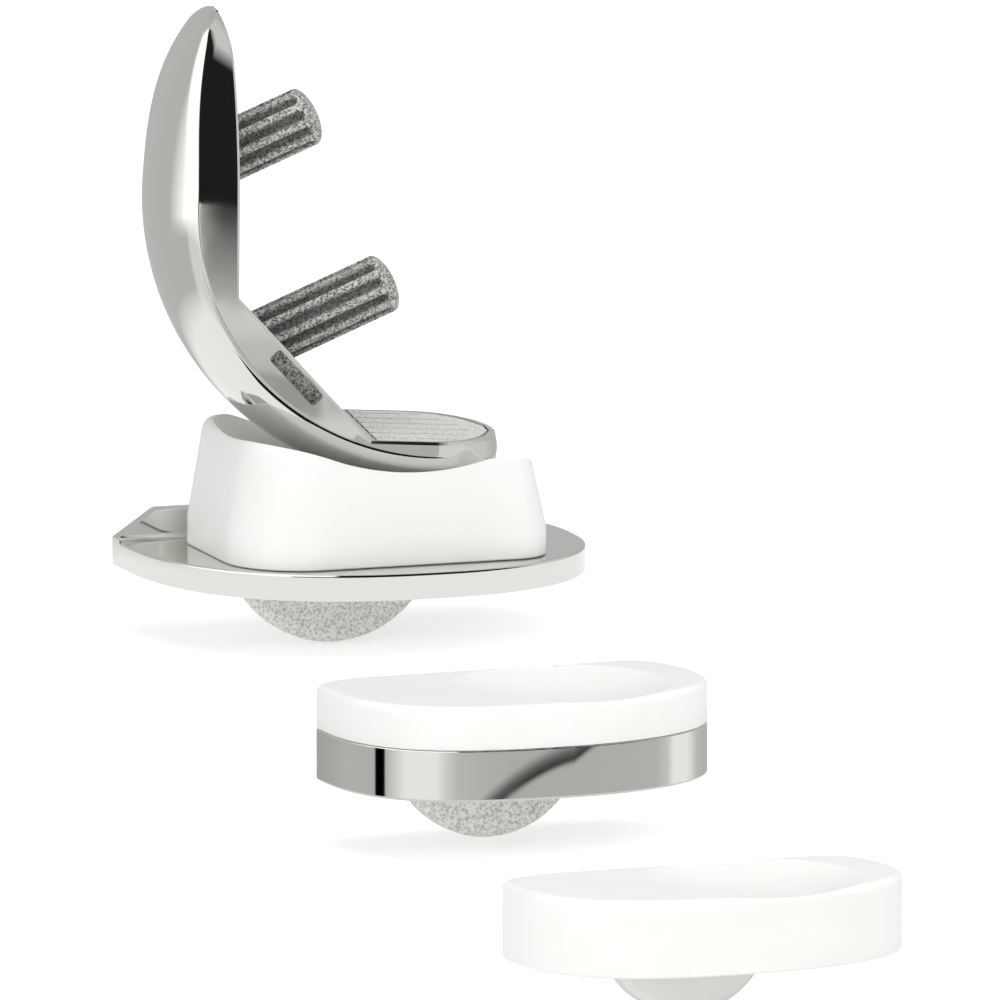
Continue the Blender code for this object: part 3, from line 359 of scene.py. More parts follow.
def runner_rings(angles):
    """Sections of the runner. Across the width, an arc of the crown radius rolls over the side rounding
    into a flat side and the flat bone side. Along the length, the section turns about the flexion axis,
    its radius grows by a smooth step towards the tip, it narrows by the width shares, and its thickness
    shrinks as a quarter ellipse over the last millimetres."""
    facets = np.searchsorted(FACET_BREAKS, angles, side="right")
    inner = bone_side_radius(angles, facets)
    rise = np.clip((FLARE_START - angles) / FLARE_SPAN, 0, 1)
    outer = RUNNER_RADIUS + FLARE * rise * rise * (3 - 2 * rise)
    half = np.maximum(width_shares(angles), LEAST_SHARE) * RUNNER_WIDTH / 2
    depth = outer - inner
    bend = np.minimum(SIDE_ROUNDING, np.minimum(0.45 * depth, 0.9 * half))
    lean = np.arcsin((half - bend) / (CROWN_RADIUS - bend))
    edge = np.minimum(BONE_EDGE, np.minimum(half, depth) / 4)
    turn = lean[:, None] * np.linspace(0, 1, 25)
    roll = lean[:, None] + (math.pi / 2 - lean[:, None]) * np.linspace(0, 1, 11)[1:]
    centre = (outer - CROWN_RADIUS)[:, None]
    crown = np.stack([centre + CROWN_RADIUS * np.cos(turn), CROWN_RADIUS * np.sin(turn)], axis=-1)
    hub = centre + (CROWN_RADIUS - bend[:, None]) * np.cos(lean)[:, None]
    side = np.stack([hub + bend[:, None] * np.cos(roll), (half - bend + bend * np.sin(roll).T).T], axis=-1)
    foot = np.stack([np.stack([inner + edge, half], -1), np.stack([inner, half - edge], -1)], axis=1)
    near = np.concatenate([crown, side, foot], axis=1)
    ends = ((TIP_ANGLE, 1, TIP_ROUNDING, 0.6), (END_ANGLE, -1, END_ROUNDING, 0.0))
    for end, sense, reach, outer_share in ends:
        along = np.clip(RUNNER_RADIUS * (angles - end) * sense / reach, 0, 1)
        left = np.maximum(np.sqrt(1 - (1 - along) ** 2), LEAST_SHARE)[:, None]
        middle = (inner + depth * outer_share)[:, None]
        near[..., 0] = middle + (near[..., 0] - middle) * left
    ring = np.concatenate([near, near[:, :0:-1] * (1, -1)], axis=1)
    radius, across = ring[..., 0], ring[..., 1]
    cosine, sine = np.cos(angles)[:, None], np.sin(angles)[:, None]
    points = np.stack([radius * cosine, across, radius * sine], axis=-1)
    turned = np.array(FEMORAL_FRAME.to_3x3())
    return points @ turned.T + np.array(FLEXION_AXIS)


def facet_matrix(facet):
    """The facet's frame: x down the facet, y lateral, z towards the bone."""
    (x, z), (ax, az) = FACET_STARTS[facet], FACET_WAYS[facet]
    rows = ((ax, 0, -az, x), (0, 1, 0, 0), (az, 0, ax, z), (0, 0, 0, 1))
    return FEMORAL_FRAME @ Matrix(rows)


def prism(outline, low, high, matrix, name):
    """A cutter: an outline in x and y, given a height along z, and placed."""
    flat = np.array(outline)
    rings = np.stack([np.column_stack([flat, np.full(len(flat), z)]) for z in (low, high)])
    turned = np.array(matrix.to_3x3())
    return closed_grid(rings @ turned.T + np.array(matrix.translation), name)


def bed_outline(facet, first, last, shift, rim):
    """Plan of a rough layer's bed: the runner's width less a rim, rounded off towards its ends."""
    angles = first + (last - first) * (1 - np.cos(np.linspace(0, math.pi, 40))) / 2
    radius = bone_side_radius(angles, np.full(len(angles), facet))
    points = np.stack([radius * np.cos(angles), radius * np.sin(angles)], axis=-1)
    along = (points - FACET_STARTS[facet]) @ FACET_WAYS[facet]
    half = np.maximum(width_shares(angles + shift), 0.24) * RUNNER_WIDTH / 2 - rim
    return np.concatenate([np.column_stack([along, -half]), np.column_stack([along, half])[::-1]])


def carve(target, cutters, joined=()):
    """Joins pieces to the target, takes the cutters out, sets edges over 30 degrees sharp and evens the
    normals."""
    for cutter in [*joined, *cutters]:
        change = target.modifiers.new(cutter.name, "BOOLEAN")
        change.operation = "UNION" if cutter in joined else "DIFFERENCE"
        change.solver = "EXACT"
        change.object = cutter
    bpy.context.view_layer.update()
    made = bpy.data.meshes.new_from_object(target.evaluated_get(bpy.context.evaluated_depsgraph_get()))
    target.modifiers.clear()
    target.data = made
    for cutter in [*joined, *cutters]:
        bpy.data.objects.remove(cutter)
    made.shade_smooth()
    made.set_sharp_from_angle(angle=math.radians(30))
    even = target.modifiers.new("even_normals", "WEIGHTED_NORMAL")
    even.keep_sharp = True


def seen_from(matrix, elements, key):
    """One vector of each face or vertex, such as its centre, in the matrix's own frame."""
    values = np.empty(len(elements) * 3)
    elements.foreach_get(key, values)
    inverse = np.array(matrix.inverted())
    return values.reshape(-1, 3) @ inverse[:3, :3].T + inverse[:3, 3]


close = 1 - np.cos(np.linspace(0, math.pi / 2, 60))
runner_angles = np.concatenate(
    [
        TIP_ANGLE + TIP_TAPER / RUNNER_RADIUS * close,
        np.linspace(TIP_ANGLE + TIP_TAPER / RUNNER_RADIUS, FACET_BREAKS[0], 40)[1:],
        np.linspace(FACET_BREAKS[0], FACET_BREAKS[1], 60)[1:],
        np.linspace(FACET_BREAKS[1], END_ANGLE - END_TAPER / RUNNER_RADIUS, 24)[1:],
        (END_ANGLE - END_TAPER / RUNNER_RADIUS * close)[::-1][1:],
    ]
)
runner = closed_grid(runner_rings(runner_angles), "runner")
BED_DEPTH = 0.0010
BED_RIM, CHAMFER_RIM, FLANGE_RIM = 0.0014, 0.0028, 0.0006
CLEAR = 0.004
rim = BED_RIM / RUNNER_RADIUS
flange_rim = FLANGE_RIM / RUNNER_RADIUS
tip_margin = 0.0090 / RUNNER_RADIUS
end_margin = 0.0007 / RUNNER_RADIUS
beds = [
    bed_outline(0, TIP_ANGLE + tip_margin, FACET_BREAKS[0] - rim, -tip_margin, BED_RIM),
    bed_outline(1, FACET_BREAKS[0] + rim, FACET_BREAKS[1] - rim, 0, CHAMFER_RIM),
    bed_outline(2, FACET_BREAKS[1] + flange_rim, END_ANGLE - end_margin, end_margin, FLANGE_RIM),
]
cutters = [prism(bed, -BED_DEPTH, CLEAR, facet_matrix(i), f"bed_{i}") for i, bed in enumerate(beds)]
SEAT_RADIUS, SEAT_DEPTH = 0.0024, 0.0035
PEG_TURN = FEMORAL_FRAME.to_3x3().to_4x4() @ Matrix.Rotation(math.radians(63.5), 4, "Y")
PEG_ROOTS = {"anterior_peg": (0, -0.013799), "posterior_peg": (1, 0.0078)}
turn = np.linspace(0, 2 * math.pi, 48, endpoint=False)
seat = SEAT_RADIUS * np.stack([np.cos(turn), np.sin(turn)], axis=-1)
for name, (facet, along) in PEG_ROOTS.items():
    root = Matrix.Translation(facet_matrix(facet) @ Vector((along, 0, 0)))
    cutters.append(prism(seat, -SEAT_DEPTH, CLEAR, root @ PEG_TURN, f"{name}_seat"))
SLOT_CORNER = 0.0004
SLOT_FAR, SLOT_NEAR = (0.0137, -0.0009), (0.0074, -0.0017)
way = np.stack([np.cos(turn - math.pi), np.sin(turn - math.pi)], axis=-1)
slot_plan = SLOT_CORNER * way + np.where(way > 0, SLOT_FAR, SLOT_NEAR)
on_edge = Matrix(((1, 0, 0, 0), (0, 0, -1, 0), (0, 1, 0, 0), (0, 0, 0, 1)))
for low, high, name in ((0.0085, 0.0145, "medial"), (-0.0145, -0.0085, "lateral")):
    cutters.append(prism(slot_plan, low, high, facet_matrix(1) @ on_edge, f"{name}_slot"))
carve(runner, cutters)
middles = seen_from(facet_matrix(1), runner.data.polygons, "center")
in_slot = (np.abs(middles - (0.01055, 0, -0.0013)) < (0.0036, 0.0104, 0.00085)).all(axis=1)
in_slot &= np.abs(middles[:, 1]) > 0.0084
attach(runner, "femoral")
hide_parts("femoral_shell")


# ---- Fixation pegs
# Two round pegs with a domed end, and ten shallow flutes that keep them from turning in the bone; each
# is pressed into the runner by a spigot.

PEG_RADIUS = 0.003225
FLUTES = 10
FLUTE_RADIUS = 0.00075
FLUTE_DEPTH = 0.00045
DOME_HEIGHT = 0.0014
PEG_FOOT = -0.00095
SPIGOT_RADIUS = 0.0021
SPIGOT_LENGTH = 0.0032


def fluted_peg(name, length):
    """Rings up the peg's axis. Round each ring the radius is the peg's own, or in a flute the distance to
    the near side of the flute's circle; the flutes run out in a quarter circle under the domed end."""
    facet, along = PEG_ROOTS[name]
    at_root = facet_matrix(facet) @ Matrix.Translation((along, 0, 0))
    place = Matrix.Translation(at_root.translation) @ PEG_TURN
    shoulder = length - DOME_HEIGHT
    run_out = shoulder - FLUTE_RADIUS
    dome = np.linspace(0, 1.55, 18)[1:]
    shaft = np.linspace(run_out, shoulder, 12)
    heights = np.concatenate([[-0.008], shaft, shoulder + DOME_HEIGHT * np.sin(dome)])
    radii = np.concatenate([np.full(13, PEG_RADIUS), PEG_RADIUS * np.cos(dome)])[:, None]
    turn = np.linspace(0, 2 * math.pi, 320, endpoint=False)
    pitch = 2 * math.pi / FLUTES
    off = (turn + pitch / 2) % pitch - pitch / 2
    far = PEG_RADIUS + FLUTE_RADIUS - FLUTE_DEPTH
    left = np.clip(FLUTE_RADIUS**2 - np.clip(heights - run_out, 0, None) ** 2, 0, None)[:, None]
    inside = left - (far * np.sin(off)) ** 2
    near_side = far * np.cos(off) - np.sqrt(np.maximum(inside, 0))
    radius = np.where(inside > 0, np.minimum(near_side, radii), radii)
    up = np.broadcast_to(heights[:, None], radius.shape)
    rings = np.stack([radius * np.cos(turn), radius * np.sin(turn), up], axis=-1)
    made = closed_grid(rings @ np.array(place.to_3x3()).T + np.array(place.translation), name)
    reach = 4 * PEG_RADIUS
    square = [(-reach, -reach), (reach, -reach), (reach, reach), (-reach, reach)]
    carve(made, [prism(square, -reach, PEG_FOOT, at_root, "below")])
    made.modifiers.clear()
    circle = SPIGOT_RADIUS * np.stack([np.cos(turn[::5]), np.sin(turn[::5])], axis=-1)
    carve(made, [], [prism(circle, -SPIGOT_LENGTH, 0.0005, place, "spigot")])
    # How deep each point lies in a flute, kept for the painted shade in the flutes.
    points = seen_from(place, made.data.vertices, "co")
    depth = np.clip((PEG_RADIUS - np.hypot(points[:, 0], points[:, 1])) / FLUTE_DEPTH, 0, 1)
    flute = made.data.attributes.new("flute", "FLOAT", "POINT")
    flute.data.foreach_set("value", np.where(points[:, 2] < shoulder, depth, 0).astype(np.float32))
    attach(made, "femoral")
    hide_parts(name)
    return made


pegs = [fluted_peg("anterior_peg", 0.0108), fluted_peg("posterior_peg", 0.0143)]


# ---- Tibial trays
# Two cast and polished plates of one family: the sliding bearing's flat tray with its guide wall along
# the lateral side, and the fixed bearing's deeper pan. A shallow bed underneath takes the porous layer.


def quarter_bow(centre, across, along, exponent, start, end, count):
    """A superellipse between two angles: cosine and sine raised to two over the exponent."""
    turn = np.radians(np.linspace(start, end, count))
    unit = np.stack([np.cos(turn), np.sin(turn)], axis=-1)
    return np.array(centre) + np.sign(unit) * np.abs(unit) ** (2 / exponent) * (across, along)


def plateau_plan(length, width, shares, exponents):
    """Plan of a tibial plateau: two bowed quarters on the medial side, a rounded back corner and a front
    corner that is rounded, or sharp where its share is zero."""
    middle_share, front_share, back_share, corner_share, front_corner_share = shares
    front, back, medial, lateral = -length / 2, length / 2, -width / 2, width / 2
    middle = front + middle_share * length
    rise, fall = front_share * width, back_share * width
    corner, reach = corner_share * length, front_corner_share * length
    parts = [
        quarter_bow((middle, medial + rise), middle - front, rise, exponents[0], 180, 270, 160)[:-1],
        quarter_bow((middle, medial + fall), back - middle, fall, exponents[1], 270, 360, 130)[:-1],
        quarter_bow((back - corner, medial + fall), corner, width - fall, exponents[2], 0, 90, 70),
    ]
    if reach:
        place = (front + reach, medial + rise)
        parts.append(quarter_bow(place, reach, width - rise, exponents[2], 90, 180, 60)[:-1])
    else:
        parts.append(np.array([(front, lateral)]))
    return np.concatenate(parts)


def stack(outline, levels, place, name):
    """A solid of rings: the outline moved inwards along its mitred normals by each level's inset, at that
    level's height, turned and set down at its place (x, y and yaw in degrees)."""
    ahead = np.roll(outline, -1, axis=0) - outline
    ahead /= np.linalg.norm(ahead, axis=1)[:, None]
    inward = np.stack([-ahead[:, 1], ahead[:, 0]], axis=1)
    before = np.roll(inward, 1, axis=0)
    mitre = (inward + before) / (1 + (inward * before).sum(axis=1))[:, None]
    insets, heights = np.array(levels).T
    flat = outline[None] + mitre[None] * insets[:, None, None]
    rings = np.dstack([flat, np.broadcast_to(heights[:, None], flat.shape[:2])])
    return closed_grid(set_down(rings, place), name)


def set_down(points, place):
    """Points turned about z and moved to a place on the ground."""
    x, y, yaw = place
    cosine, sine = math.cos(math.radians(yaw)), math.sin(math.radians(yaw))
    turned = points @ np.array([(cosine, sine, 0), (-sine, cosine, 0), (0, 0, 1)])
    return turned + (x, y, 0)


def rounded(radius, at, rising, count=7):
    """Levels round an edge: quarter circle from the flat face to the side, or back when it isn't rising."""
    turn = np.linspace(0, math.pi / 2, count)
    height = at + radius * (1 - np.cos(turn)) * (1 if rising else -1)
    pairs = np.stack([radius * (1 - np.sin(turn)), height], -1).tolist()
    return pairs if rising else pairs[::-1]


def keel(centre_x, radius, depth, thickness, rounding, top, place, name):
    """A half-moon keel: arcs about one centre, each drawn in by the rounding at the two flat sides."""
    turn = np.linspace(0, math.pi / 2, 7)
    inset = rounding * (1 - np.cos(turn))
    drop = thickness / 2 - rounding * (1 - np.sin(turn))
    inset = np.concatenate([inset[::-1], inset])
    across = np.concatenate([-drop[::-1], drop])
    reach = np.arcsin((top - radius + depth) / (radius - inset))
    share = np.linspace(0, 1, 97)
    angles = -math.pi - reach[:, None] + (math.pi + 2 * reach[:, None]) * share
    x = centre_x + (radius - inset)[:, None] * np.cos(angles)
    z = radius - depth + (radius - inset)[:, None] * np.sin(angles)
    rings = np.stack([x, np.broadcast_to(across[:, None], x.shape), z], axis=-1)
    return closed_grid(set_down(rings, place), name)


TRAY_PLACE = (0, 0.0080, 0)
FIXED_PLACE = (-0.0247, -0.11405, 1.6)
FIXED_SHARES = (0.530, 0.818, 0.546, 0.143, 0.217)
FIXED_EXPONENTS = (2.8, 2.0, 2.2)
TRAY_EDGE, TRAY_TOP, FIXED_TOP = 0.0003, 0.0029, 0.0054
tray_plan = plateau_plan(0.0476, 0.0311, (0.571, 0.90, 0.566, 0.187, 0), (2.45, 2.1, 2.8))
fixed_plan = plateau_plan(0.0402, 0.02285, FIXED_SHARES, FIXED_EXPONENTS)
bed = [(0.0016, 0.0010), (0.0016, 0)]
foot = rounded(TRAY_EDGE, 0, True)
tray = stack(tray_plan, [*bed, *foot, *rounded(TRAY_EDGE, TRAY_TOP, False)], TRAY_PLACE, "tray")
round_out = np.linspace(0, math.pi / 2, 9)
WALL_OUTER, WALL_INNER, WALL_TOP = 0.01555, 0.01375, 0.00615
WALL_FOOT, WALL_EDGE, WALL_FILLET = 0.0008, 0.0004, 0.0006
arc = np.stack([np.cos(round_out), np.sin(round_out)], axis=-1)
wall_section = np.concatenate(
    [
        [(WALL_OUTER, WALL_FOOT)],
        (WALL_OUTER - WALL_EDGE, WALL_TOP - WALL_EDGE) + WALL_EDGE * arc,
        (WALL_INNER + WALL_EDGE, WALL_TOP - WALL_EDGE) + WALL_EDGE * arc[:, ::-1] * (-1, 1),
        (WALL_INNER - WALL_FILLET, TRAY_TOP + WALL_FILLET) + WALL_FILLET * arc * (1, -1),
        [(WALL_INNER - WALL_FILLET, WALL_FOOT)],
    ]
)
wall_ends = [np.column_stack([np.full(len(wall_section), x), wall_section]) for x in (-0.0238, 0.0150)]
wall = closed_grid(set_down(np.stack(wall_ends), TRAY_PLACE), "wall")
on_side = Matrix.Translation((0, TRAY_PLACE[1], 0)) @ on_edge
SLOPE_TOP = 0.0102
front_slope = [(-0.0278, TRAY_TOP), (-0.0241, TRAY_TOP), (-0.0188, 0.00645), (-0.0188, SLOPE_TOP), (-0.0278, SLOPE_TOP)]
back_slope = [(0.0190, TRAY_TOP), (0.0190, SLOPE_TOP), (0.0125, SLOPE_TOP), (0.0125, 0.00645), (0.0153, TRAY_TOP)]
plans = {"front": front_slope, "back": back_slope}
slopes = [prism(plan, -0.0195, -0.0097, on_side, name) for name, plan in plans.items()]
carve(wall, slopes)
wall.modifiers.clear()
tray_core = keel(-0.0045, 0.0107, 0.00565, 0.0016, 0.0003, 0.0013, TRAY_PLACE, "tray_core")
carve(tray, [], [wall, tray_core])
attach(tray, "tibia")
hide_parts("tibial_tray")
rim_levels = [*rounded(0.00012, FIXED_TOP, False, 4), (0.0014, FIXED_TOP), (0.0014, 0.0024)]
fixed_levels = [*bed, *foot, *rim_levels]
pan = stack(fixed_plan, fixed_levels, FIXED_PLACE, "pan")
pan_core = keel(-0.0042, 0.0095, 0.0045, 0.0016, 0.0003, 0.0013, FIXED_PLACE, "pan_core")
carve(pan, [], [pan_core])
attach(pan, "tibia")
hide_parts("fixed_tray")


# ---- Polyethylene pieces
# The sliding bearing with its deep dish, the insert that lifts out of the pan, and the component that is
# all polyethylene, keel and plateau in one; the last two have shallow round dishes.


def turned(profile, centre, axis_turn, count, name):
    """A solid of revolution: each point of the profile, a radius and a place along the axis, is carried
    round the axis, which is z turned by the matrix about the centre."""
    turn = np.linspace(0, 2 * math.pi, count, endpoint=False)
    radius, along = np.array(profile)[:, 0, None], np.array(profile)[:, 1, None]
    rings = np.stack([radius * np.cos(turn), radius * np.sin(turn), along + 0 * turn], axis=-1)
    matrix = np.array(axis_turn.to_3x3())
    return closed_grid(rings @ matrix.T + np.array(centre), name)


def ball(radius, centre, name):
    """A sphere as a solid of revolution of a half circle, its poles cut off by a hair."""
    turn = np.linspace(0.002, math.pi - 0.002, 150)
    return turned(radius * np.stack([np.sin(turn), np.cos(turn)], -1), centre, Matrix(), 300, name)


FOOT_Z = 0.0032
SKIRT_HEIGHT = 0.0028
FRONT_HEIGHT = 0.0133
FRONT_X, BACK_X = -0.0175, 0.0170
NEAR_Y, FAR_Y = -0.00325, 0.02145
TOP_SLOPE = math.tan(math.radians(3.7))
FRONT_LEAN, BACK_LEAN = math.tan(math.radians(10.5)), math.tan(math.radians(13))
BEARING_CORNERS = (
    (FRONT_X, NEAR_Y, 1, 1, 0.0085, 180),
    (BACK_X, NEAR_Y, -1, 1, 0.0042, 270),
    (BACK_X, FAR_Y, -1, -1, 0.0050, 0),
    (FRONT_X, FAR_Y, 1, -1, 0.0050, 90),
)


def bearing_ring(inset, drop, flat_height=None):
    """One ring of the bearing: four corner arcs drawn in by the inset. At the top the height falls with
    the slope towards the back, and above the skirt the front and back lean in with their tangents."""
    arcs = []
    for x, y, right, up, radius, start in BEARING_CORNERS:
        turn = np.radians(np.linspace(start, start + 90, 40))
        centre = (x + right * radius, y + up * radius)
        arcs.append(centre + (radius - inset) * np.stack([np.cos(turn), np.sin(turn)], -1))
    flat = np.concatenate(arcs)
    if flat_height is not None:
        return np.column_stack([flat, np.full(len(flat), flat_height)])
    x = flat[:, 0]
    z = FOOT_Z + FRONT_HEIGHT - (x - FRONT_X) * TOP_SLOPE - drop
    rise = np.maximum(0, z - FOOT_Z - SKIRT_HEIGHT)
    share = (x - FRONT_X) / (BACK_X - FRONT_X)
    lean = rise * (FRONT_LEAN * (1 - share) - BACK_LEAN * share)
    return np.column_stack([x + lean, flat[:, 1], z])


LIP = 0.0012
foot_levels = rounded(0.0002, 0.00295, True)
bearing_rings = [bearing_ring(inset, 0, z) for inset, z in foot_levels]
bearing_rings.append(bearing_ring(0, 0, FOOT_Z + SKIRT_HEIGHT))
lip = np.linspace(0, math.pi / 2, 12)
bearing_rings += [bearing_ring(LIP * (1 - math.cos(t)), LIP * (1 - math.sin(t))) for t in lip]
bearing = closed_grid(np.stack(bearing_rings), "bearing")
lean = np.linspace(math.pi / 3, -math.pi / 3, 121)
DISH_CLEARANCE = 0.0003
dish_crown = CROWN_RADIUS + DISH_CLEARANCE
dish_hub = RUNNER_RADIUS + DISH_CLEARANCE - dish_crown
dish_profile = np.stack([dish_hub + dish_crown * np.cos(lean), dish_crown * np.sin(lean)], -1)
across = Matrix.Rotation(-math.pi / 2, 4, "X")
dish_turn = Matrix.Rotation(math.radians(-9), 4, "Z") @ across
dish = turned(dish_profile, FLEXION_AXIS, dish_turn, 360, "dish")
entry = ball(0.0310, FLEXION_AXIS + Vector((-0.0053, 0, 0.0006)), "entry")
wire_ends = [(0.0008, 0.00415), (0.0008, 0.02545)]
holes = [turned(wire_ends, (-0.0125, 0, 0.0067), across, 32, "wire_hole")]
for y in (0.00135, 0.01685):
    holes.append(turned([(0.0011, 0.0022), (0.0011, 0.0073)], (0.0128, y, 0), Matrix(), 32, "ball_hole"))
carve(bearing, [dish, entry, *holes])
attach(bearing, "bearing")
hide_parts("mobile_bearing")

SHALLOW_RADIUS = 0.0420
SHALLOW_DEPTH = 0.0016


def shallow_dish(top, place, name):
    """The round dish of a fixed surface, a little behind the middle of its plateau."""
    middle = set_down(np.array([(0.004, 0, top - SHALLOW_DEPTH + SHALLOW_RADIUS)]), place)[0]
    return ball(SHALLOW_RADIUS, Vector(middle), name)


insert_foot = [(0.0017, 0.0027), (0.0017, 0.00545)]
insert_top = [*rounded(0.00012, 0.00545, True, 4), *rounded(0.0008, 0.0100, False, 12)]
insert = stack(fixed_plan, [*insert_foot, *insert_top], FIXED_PLACE, "insert")
carve(insert, [shallow_dish(0.0100, FIXED_PLACE, "insert_dish")])
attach(insert, "insert")
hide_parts("fixed_insert")
POLY_PLACE = (-0.0397, -0.2169, 1.4)
poly_plan = plateau_plan(0.0406, 0.0207, FIXED_SHARES, FIXED_EXPONENTS)
poly_levels = [*rounded(0.0003, 0, True), *rounded(0.0008, 0.0080, False, 12)]
all_poly = stack(poly_plan, poly_levels, POLY_PLACE, "all_poly")
poly_keel = keel(-0.0032, 0.0092, 0.0054, 0.0036, 0.0011, 0.0011, POLY_PLACE, "poly_keel")
carve(all_poly, [shallow_dish(0.0080, POLY_PLACE, "poly_dish")], [poly_keel])
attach(all_poly, "tibia")
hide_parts("all_poly_tibia")


# ---- Polished cobalt chrome
# The runner and both trays are cast, ground and polished to a mirror, with the faintest waviness
# and a haze that polishing leaves.


def coat(tree, output, inputs):
    """The skin of a material: one principled shader on its output."""
    shader = add(tree, "ShaderNodeBsdfPrincipled", inputs)
    tree.links.new(shader.outputs[0], output.inputs["Surface"])


polished, tree, output = material("polished_cobalt_chrome")
place = add(tree, "ShaderNodeTexCoord")
haze = add(tree, "ShaderNodeTexNoise", {"Vector": place.outputs["Object"], "Scale": 220, "Detail": 3})
rough = spread(tree, haze.outputs["Fac"], 0.3, 0.7, 0.035, 0.07)
wave = add(tree, "ShaderNodeTexNoise", {"Vector": place.outputs["Object"], "Scale": 90, "Detail": 1})
bump = add(tree, "ShaderNodeBump", {"Strength": 0.01, "Distance": 0.0002, "Height": wave.outputs["Fac"]})
coat(
    tree,
    output,
    {
        "Base Color": linear("#E2E2DE"),
        "Metallic": 1,
        "Roughness": rough,
        "Normal": bump.outputs[0],
    },
)
for piece in (runner, tray, pan):
    piece.data.materials.clear()
    piece.data.materials.append(polished)


# ---- Grit-blasted bone side
# The facets inside the runner and its two pegs are blasted with grit, which leaves dark metal with fine bright grains,
# painted glints where the facets of the grit marks catch the light. The pegs' flutes are painted darker by their depth:
# painted shade in the hollows.


def two_tone(tree, value, low, low_hex, high, high_hex):
    """A ramp from one hex colour to another."""
    node = add(tree, "ShaderNodeValToRGB", {0: value})
    for element, place, colour in zip(node.color_ramp.elements, (low, high), (low_hex, high_hex)):
        element.position = place
        element.color = linear(colour)
    return node.outputs[0]


blasted, tree, output = material("blasted_cobalt_chrome")
place = add(tree, "ShaderNodeTexCoord")
grain = add(tree, "ShaderNodeTexVoronoi", {"Vector": place.outputs["Object"], "Scale": 4200})
clump = add(tree, "ShaderNodeTexNoise", {"Vector": place.outputs["Object"], "Scale": 2600, "Detail": 4})
tone = add(tree, "ShaderNodeMix", {0: 0.5, 2: grain.outputs["Distance"], 3: clump.outputs["Fac"]})
colour = two_tone(tree, tone.outputs[0], 0.32, "#4A4A48", 0.62, "#E2E2DE")
# The pegs' flutes are darker by their depth: painted shade in the flutes.
flute = add(tree, "ShaderNodeAttribute", attribute_name="flute")
shade = spread(tree, flute.outputs["Fac"], 0.1, 0.8, 0, 0.8)
painted_flute_shade = add(
    tree,
    "ShaderNodeMix",
    {0: shade, 6: colour, 7: linear("#2E2E2C")},
    data_type="RGBA",
)
bump = add(tree, "ShaderNodeBump", {"Strength": 0.8, "Distance": 0.0002, "Height": tone.outputs[0]})
coat(
    tree,
    output,
    {"Base Color": painted_flute_shade.outputs[2], "Metallic": 0.55, "Roughness": 0.5, "Normal": bump.outputs[0]},
)
runner.data.materials.append(blasted)
runner.data.polygons.foreach_set("material_index", in_slot.astype(np.int32))
for piece in pegs:
    piece.data.materials.clear()
    piece.data.materials.append(blasted)
for node in ("distal_coating", "chamfer_coating"):
    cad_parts[node].material_slots[0].material = blasted


# ---- Flange lining
# The grooved lining of the rear arm, blasted with finer grit to a pale, even grey.

pale, tree, output = material("fine_blasted_cobalt_chrome")
place = add(tree, "ShaderNodeTexCoord")
grain = add(tree, "ShaderNodeTexNoise", {"Vector": place.outputs["Object"], "Scale": 5200, "Detail": 4})
colour = two_tone(tree, grain.outputs["Fac"], 0.36, "#C6C6C2", 0.6, "#F4F4F0")
coat(tree, output, {"Base Color": colour, "Metallic": 0.3, "Roughness": 0.6})
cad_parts["flange_coating"].material_slots[0].material = pale


# ---- Porous coating
# Metal beads or sponge sprayed hot onto the bone side and the keel of the trays, pale grey and
# rough, with grains of a quarter of a millimetre.

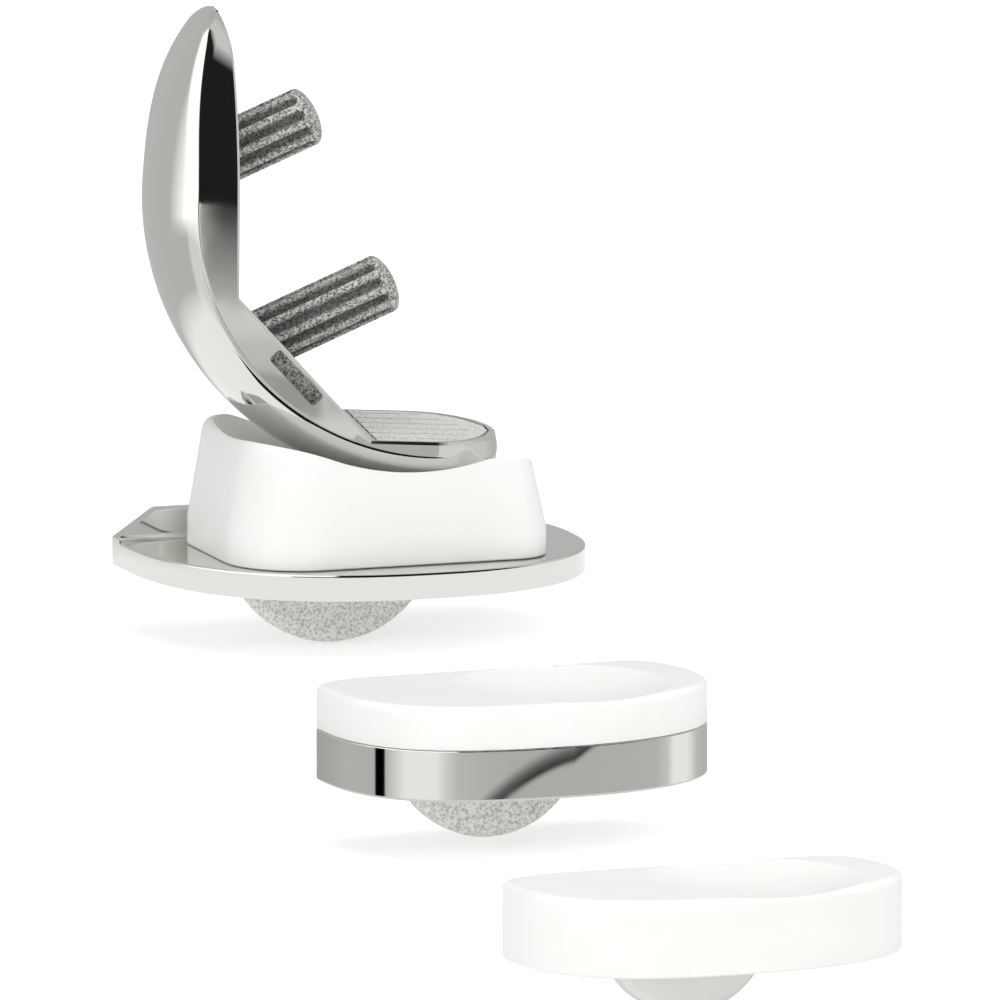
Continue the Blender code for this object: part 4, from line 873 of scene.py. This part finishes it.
porous, tree, output = material("porous_coating")
place = add(tree, "ShaderNodeTexCoord")
grain = add(tree, "ShaderNodeTexVoronoi", {"Vector": place.outputs["Object"], "Scale": 3000})
clump = add(tree, "ShaderNodeTexNoise", {"Vector": place.outputs["Object"], "Scale": 1800, "Detail": 4})
tone = add(tree, "ShaderNodeMix", {0: 0.5, 2: grain.outputs["Distance"], 3: clump.outputs["Fac"]})
colour = two_tone(tree, tone.outputs[0], 0.3, "#BEBEBA", 0.6, "#F4F4F0")
bump = add(tree, "ShaderNodeBump", {"Strength": 0.7, "Distance": 0.0002, "Height": tone.outputs[0]})
coat(
    tree,
    output,
    {"Base Color": colour, "Metallic": 0.3, "Roughness": 0.6, "Normal": bump.outputs[0]},
)
for node in ("tray_coating", "fixed_coating"):
    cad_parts[node].material_slots[0].material = porous


# ---- Polyethylene bearings
# Milled ultra-high-molecular-weight polyethylene: milky white, a satin skin and a little light
# passing through its edges.

poly, tree, output = material("uhmwpe")
place = add(tree, "ShaderNodeTexCoord")
cloud = add(tree, "ShaderNodeTexNoise", {"Vector": place.outputs["Object"], "Scale": 160, "Detail": 3})
tint = add(
    tree,
    "ShaderNodeMix",
    {0: cloud.outputs["Fac"], 6: linear("#F1F1EE"), 7: linear("#F6F6F4")},
    data_type="RGBA",
)
mill = add(tree, "ShaderNodeTexNoise", {"Vector": place.outputs["Object"], "Scale": 1500, "Detail": 2})
bump = add(tree, "ShaderNodeBump", {"Strength": 0.05, "Distance": 0.0001, "Height": mill.outputs["Fac"]})
coat(
    tree,
    output,
    {
        "Base Color": tint.outputs[2],
        "Roughness": 0.32,
        "Subsurface Weight": 0.15,
        "Subsurface Radius": (0.004, 0.004, 0.004),
        "Subsurface Scale": 1.0,
        "Normal": bump.outputs[0],
    },
)
for piece in (bearing, insert, all_poly):
    piece.data.materials.clear()
    piece.data.materials.append(poly)


# ---- Radio-opaque markers
# A short wire and two small balls of tantalum, buried in the bearing so that an X-ray shows it.

marker, tree, output = material("marker_metal")
place = add(tree, "ShaderNodeTexCoord")
drawn = add(tree, "ShaderNodeTexNoise", {"Vector": place.outputs["Object"], "Scale": 4000, "Detail": 2})
rough = spread(tree, drawn.outputs["Fac"], 0, 1, 0.2, 0.4)
coat(
    tree,
    output,
    {"Base Color": linear("#8E8E90"), "Metallic": 1, "Roughness": rough},
)
for node in ("marker_wire", "marker_ball_medial", "marker_ball_lateral"):
    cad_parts[node].material_slots[0].material = marker
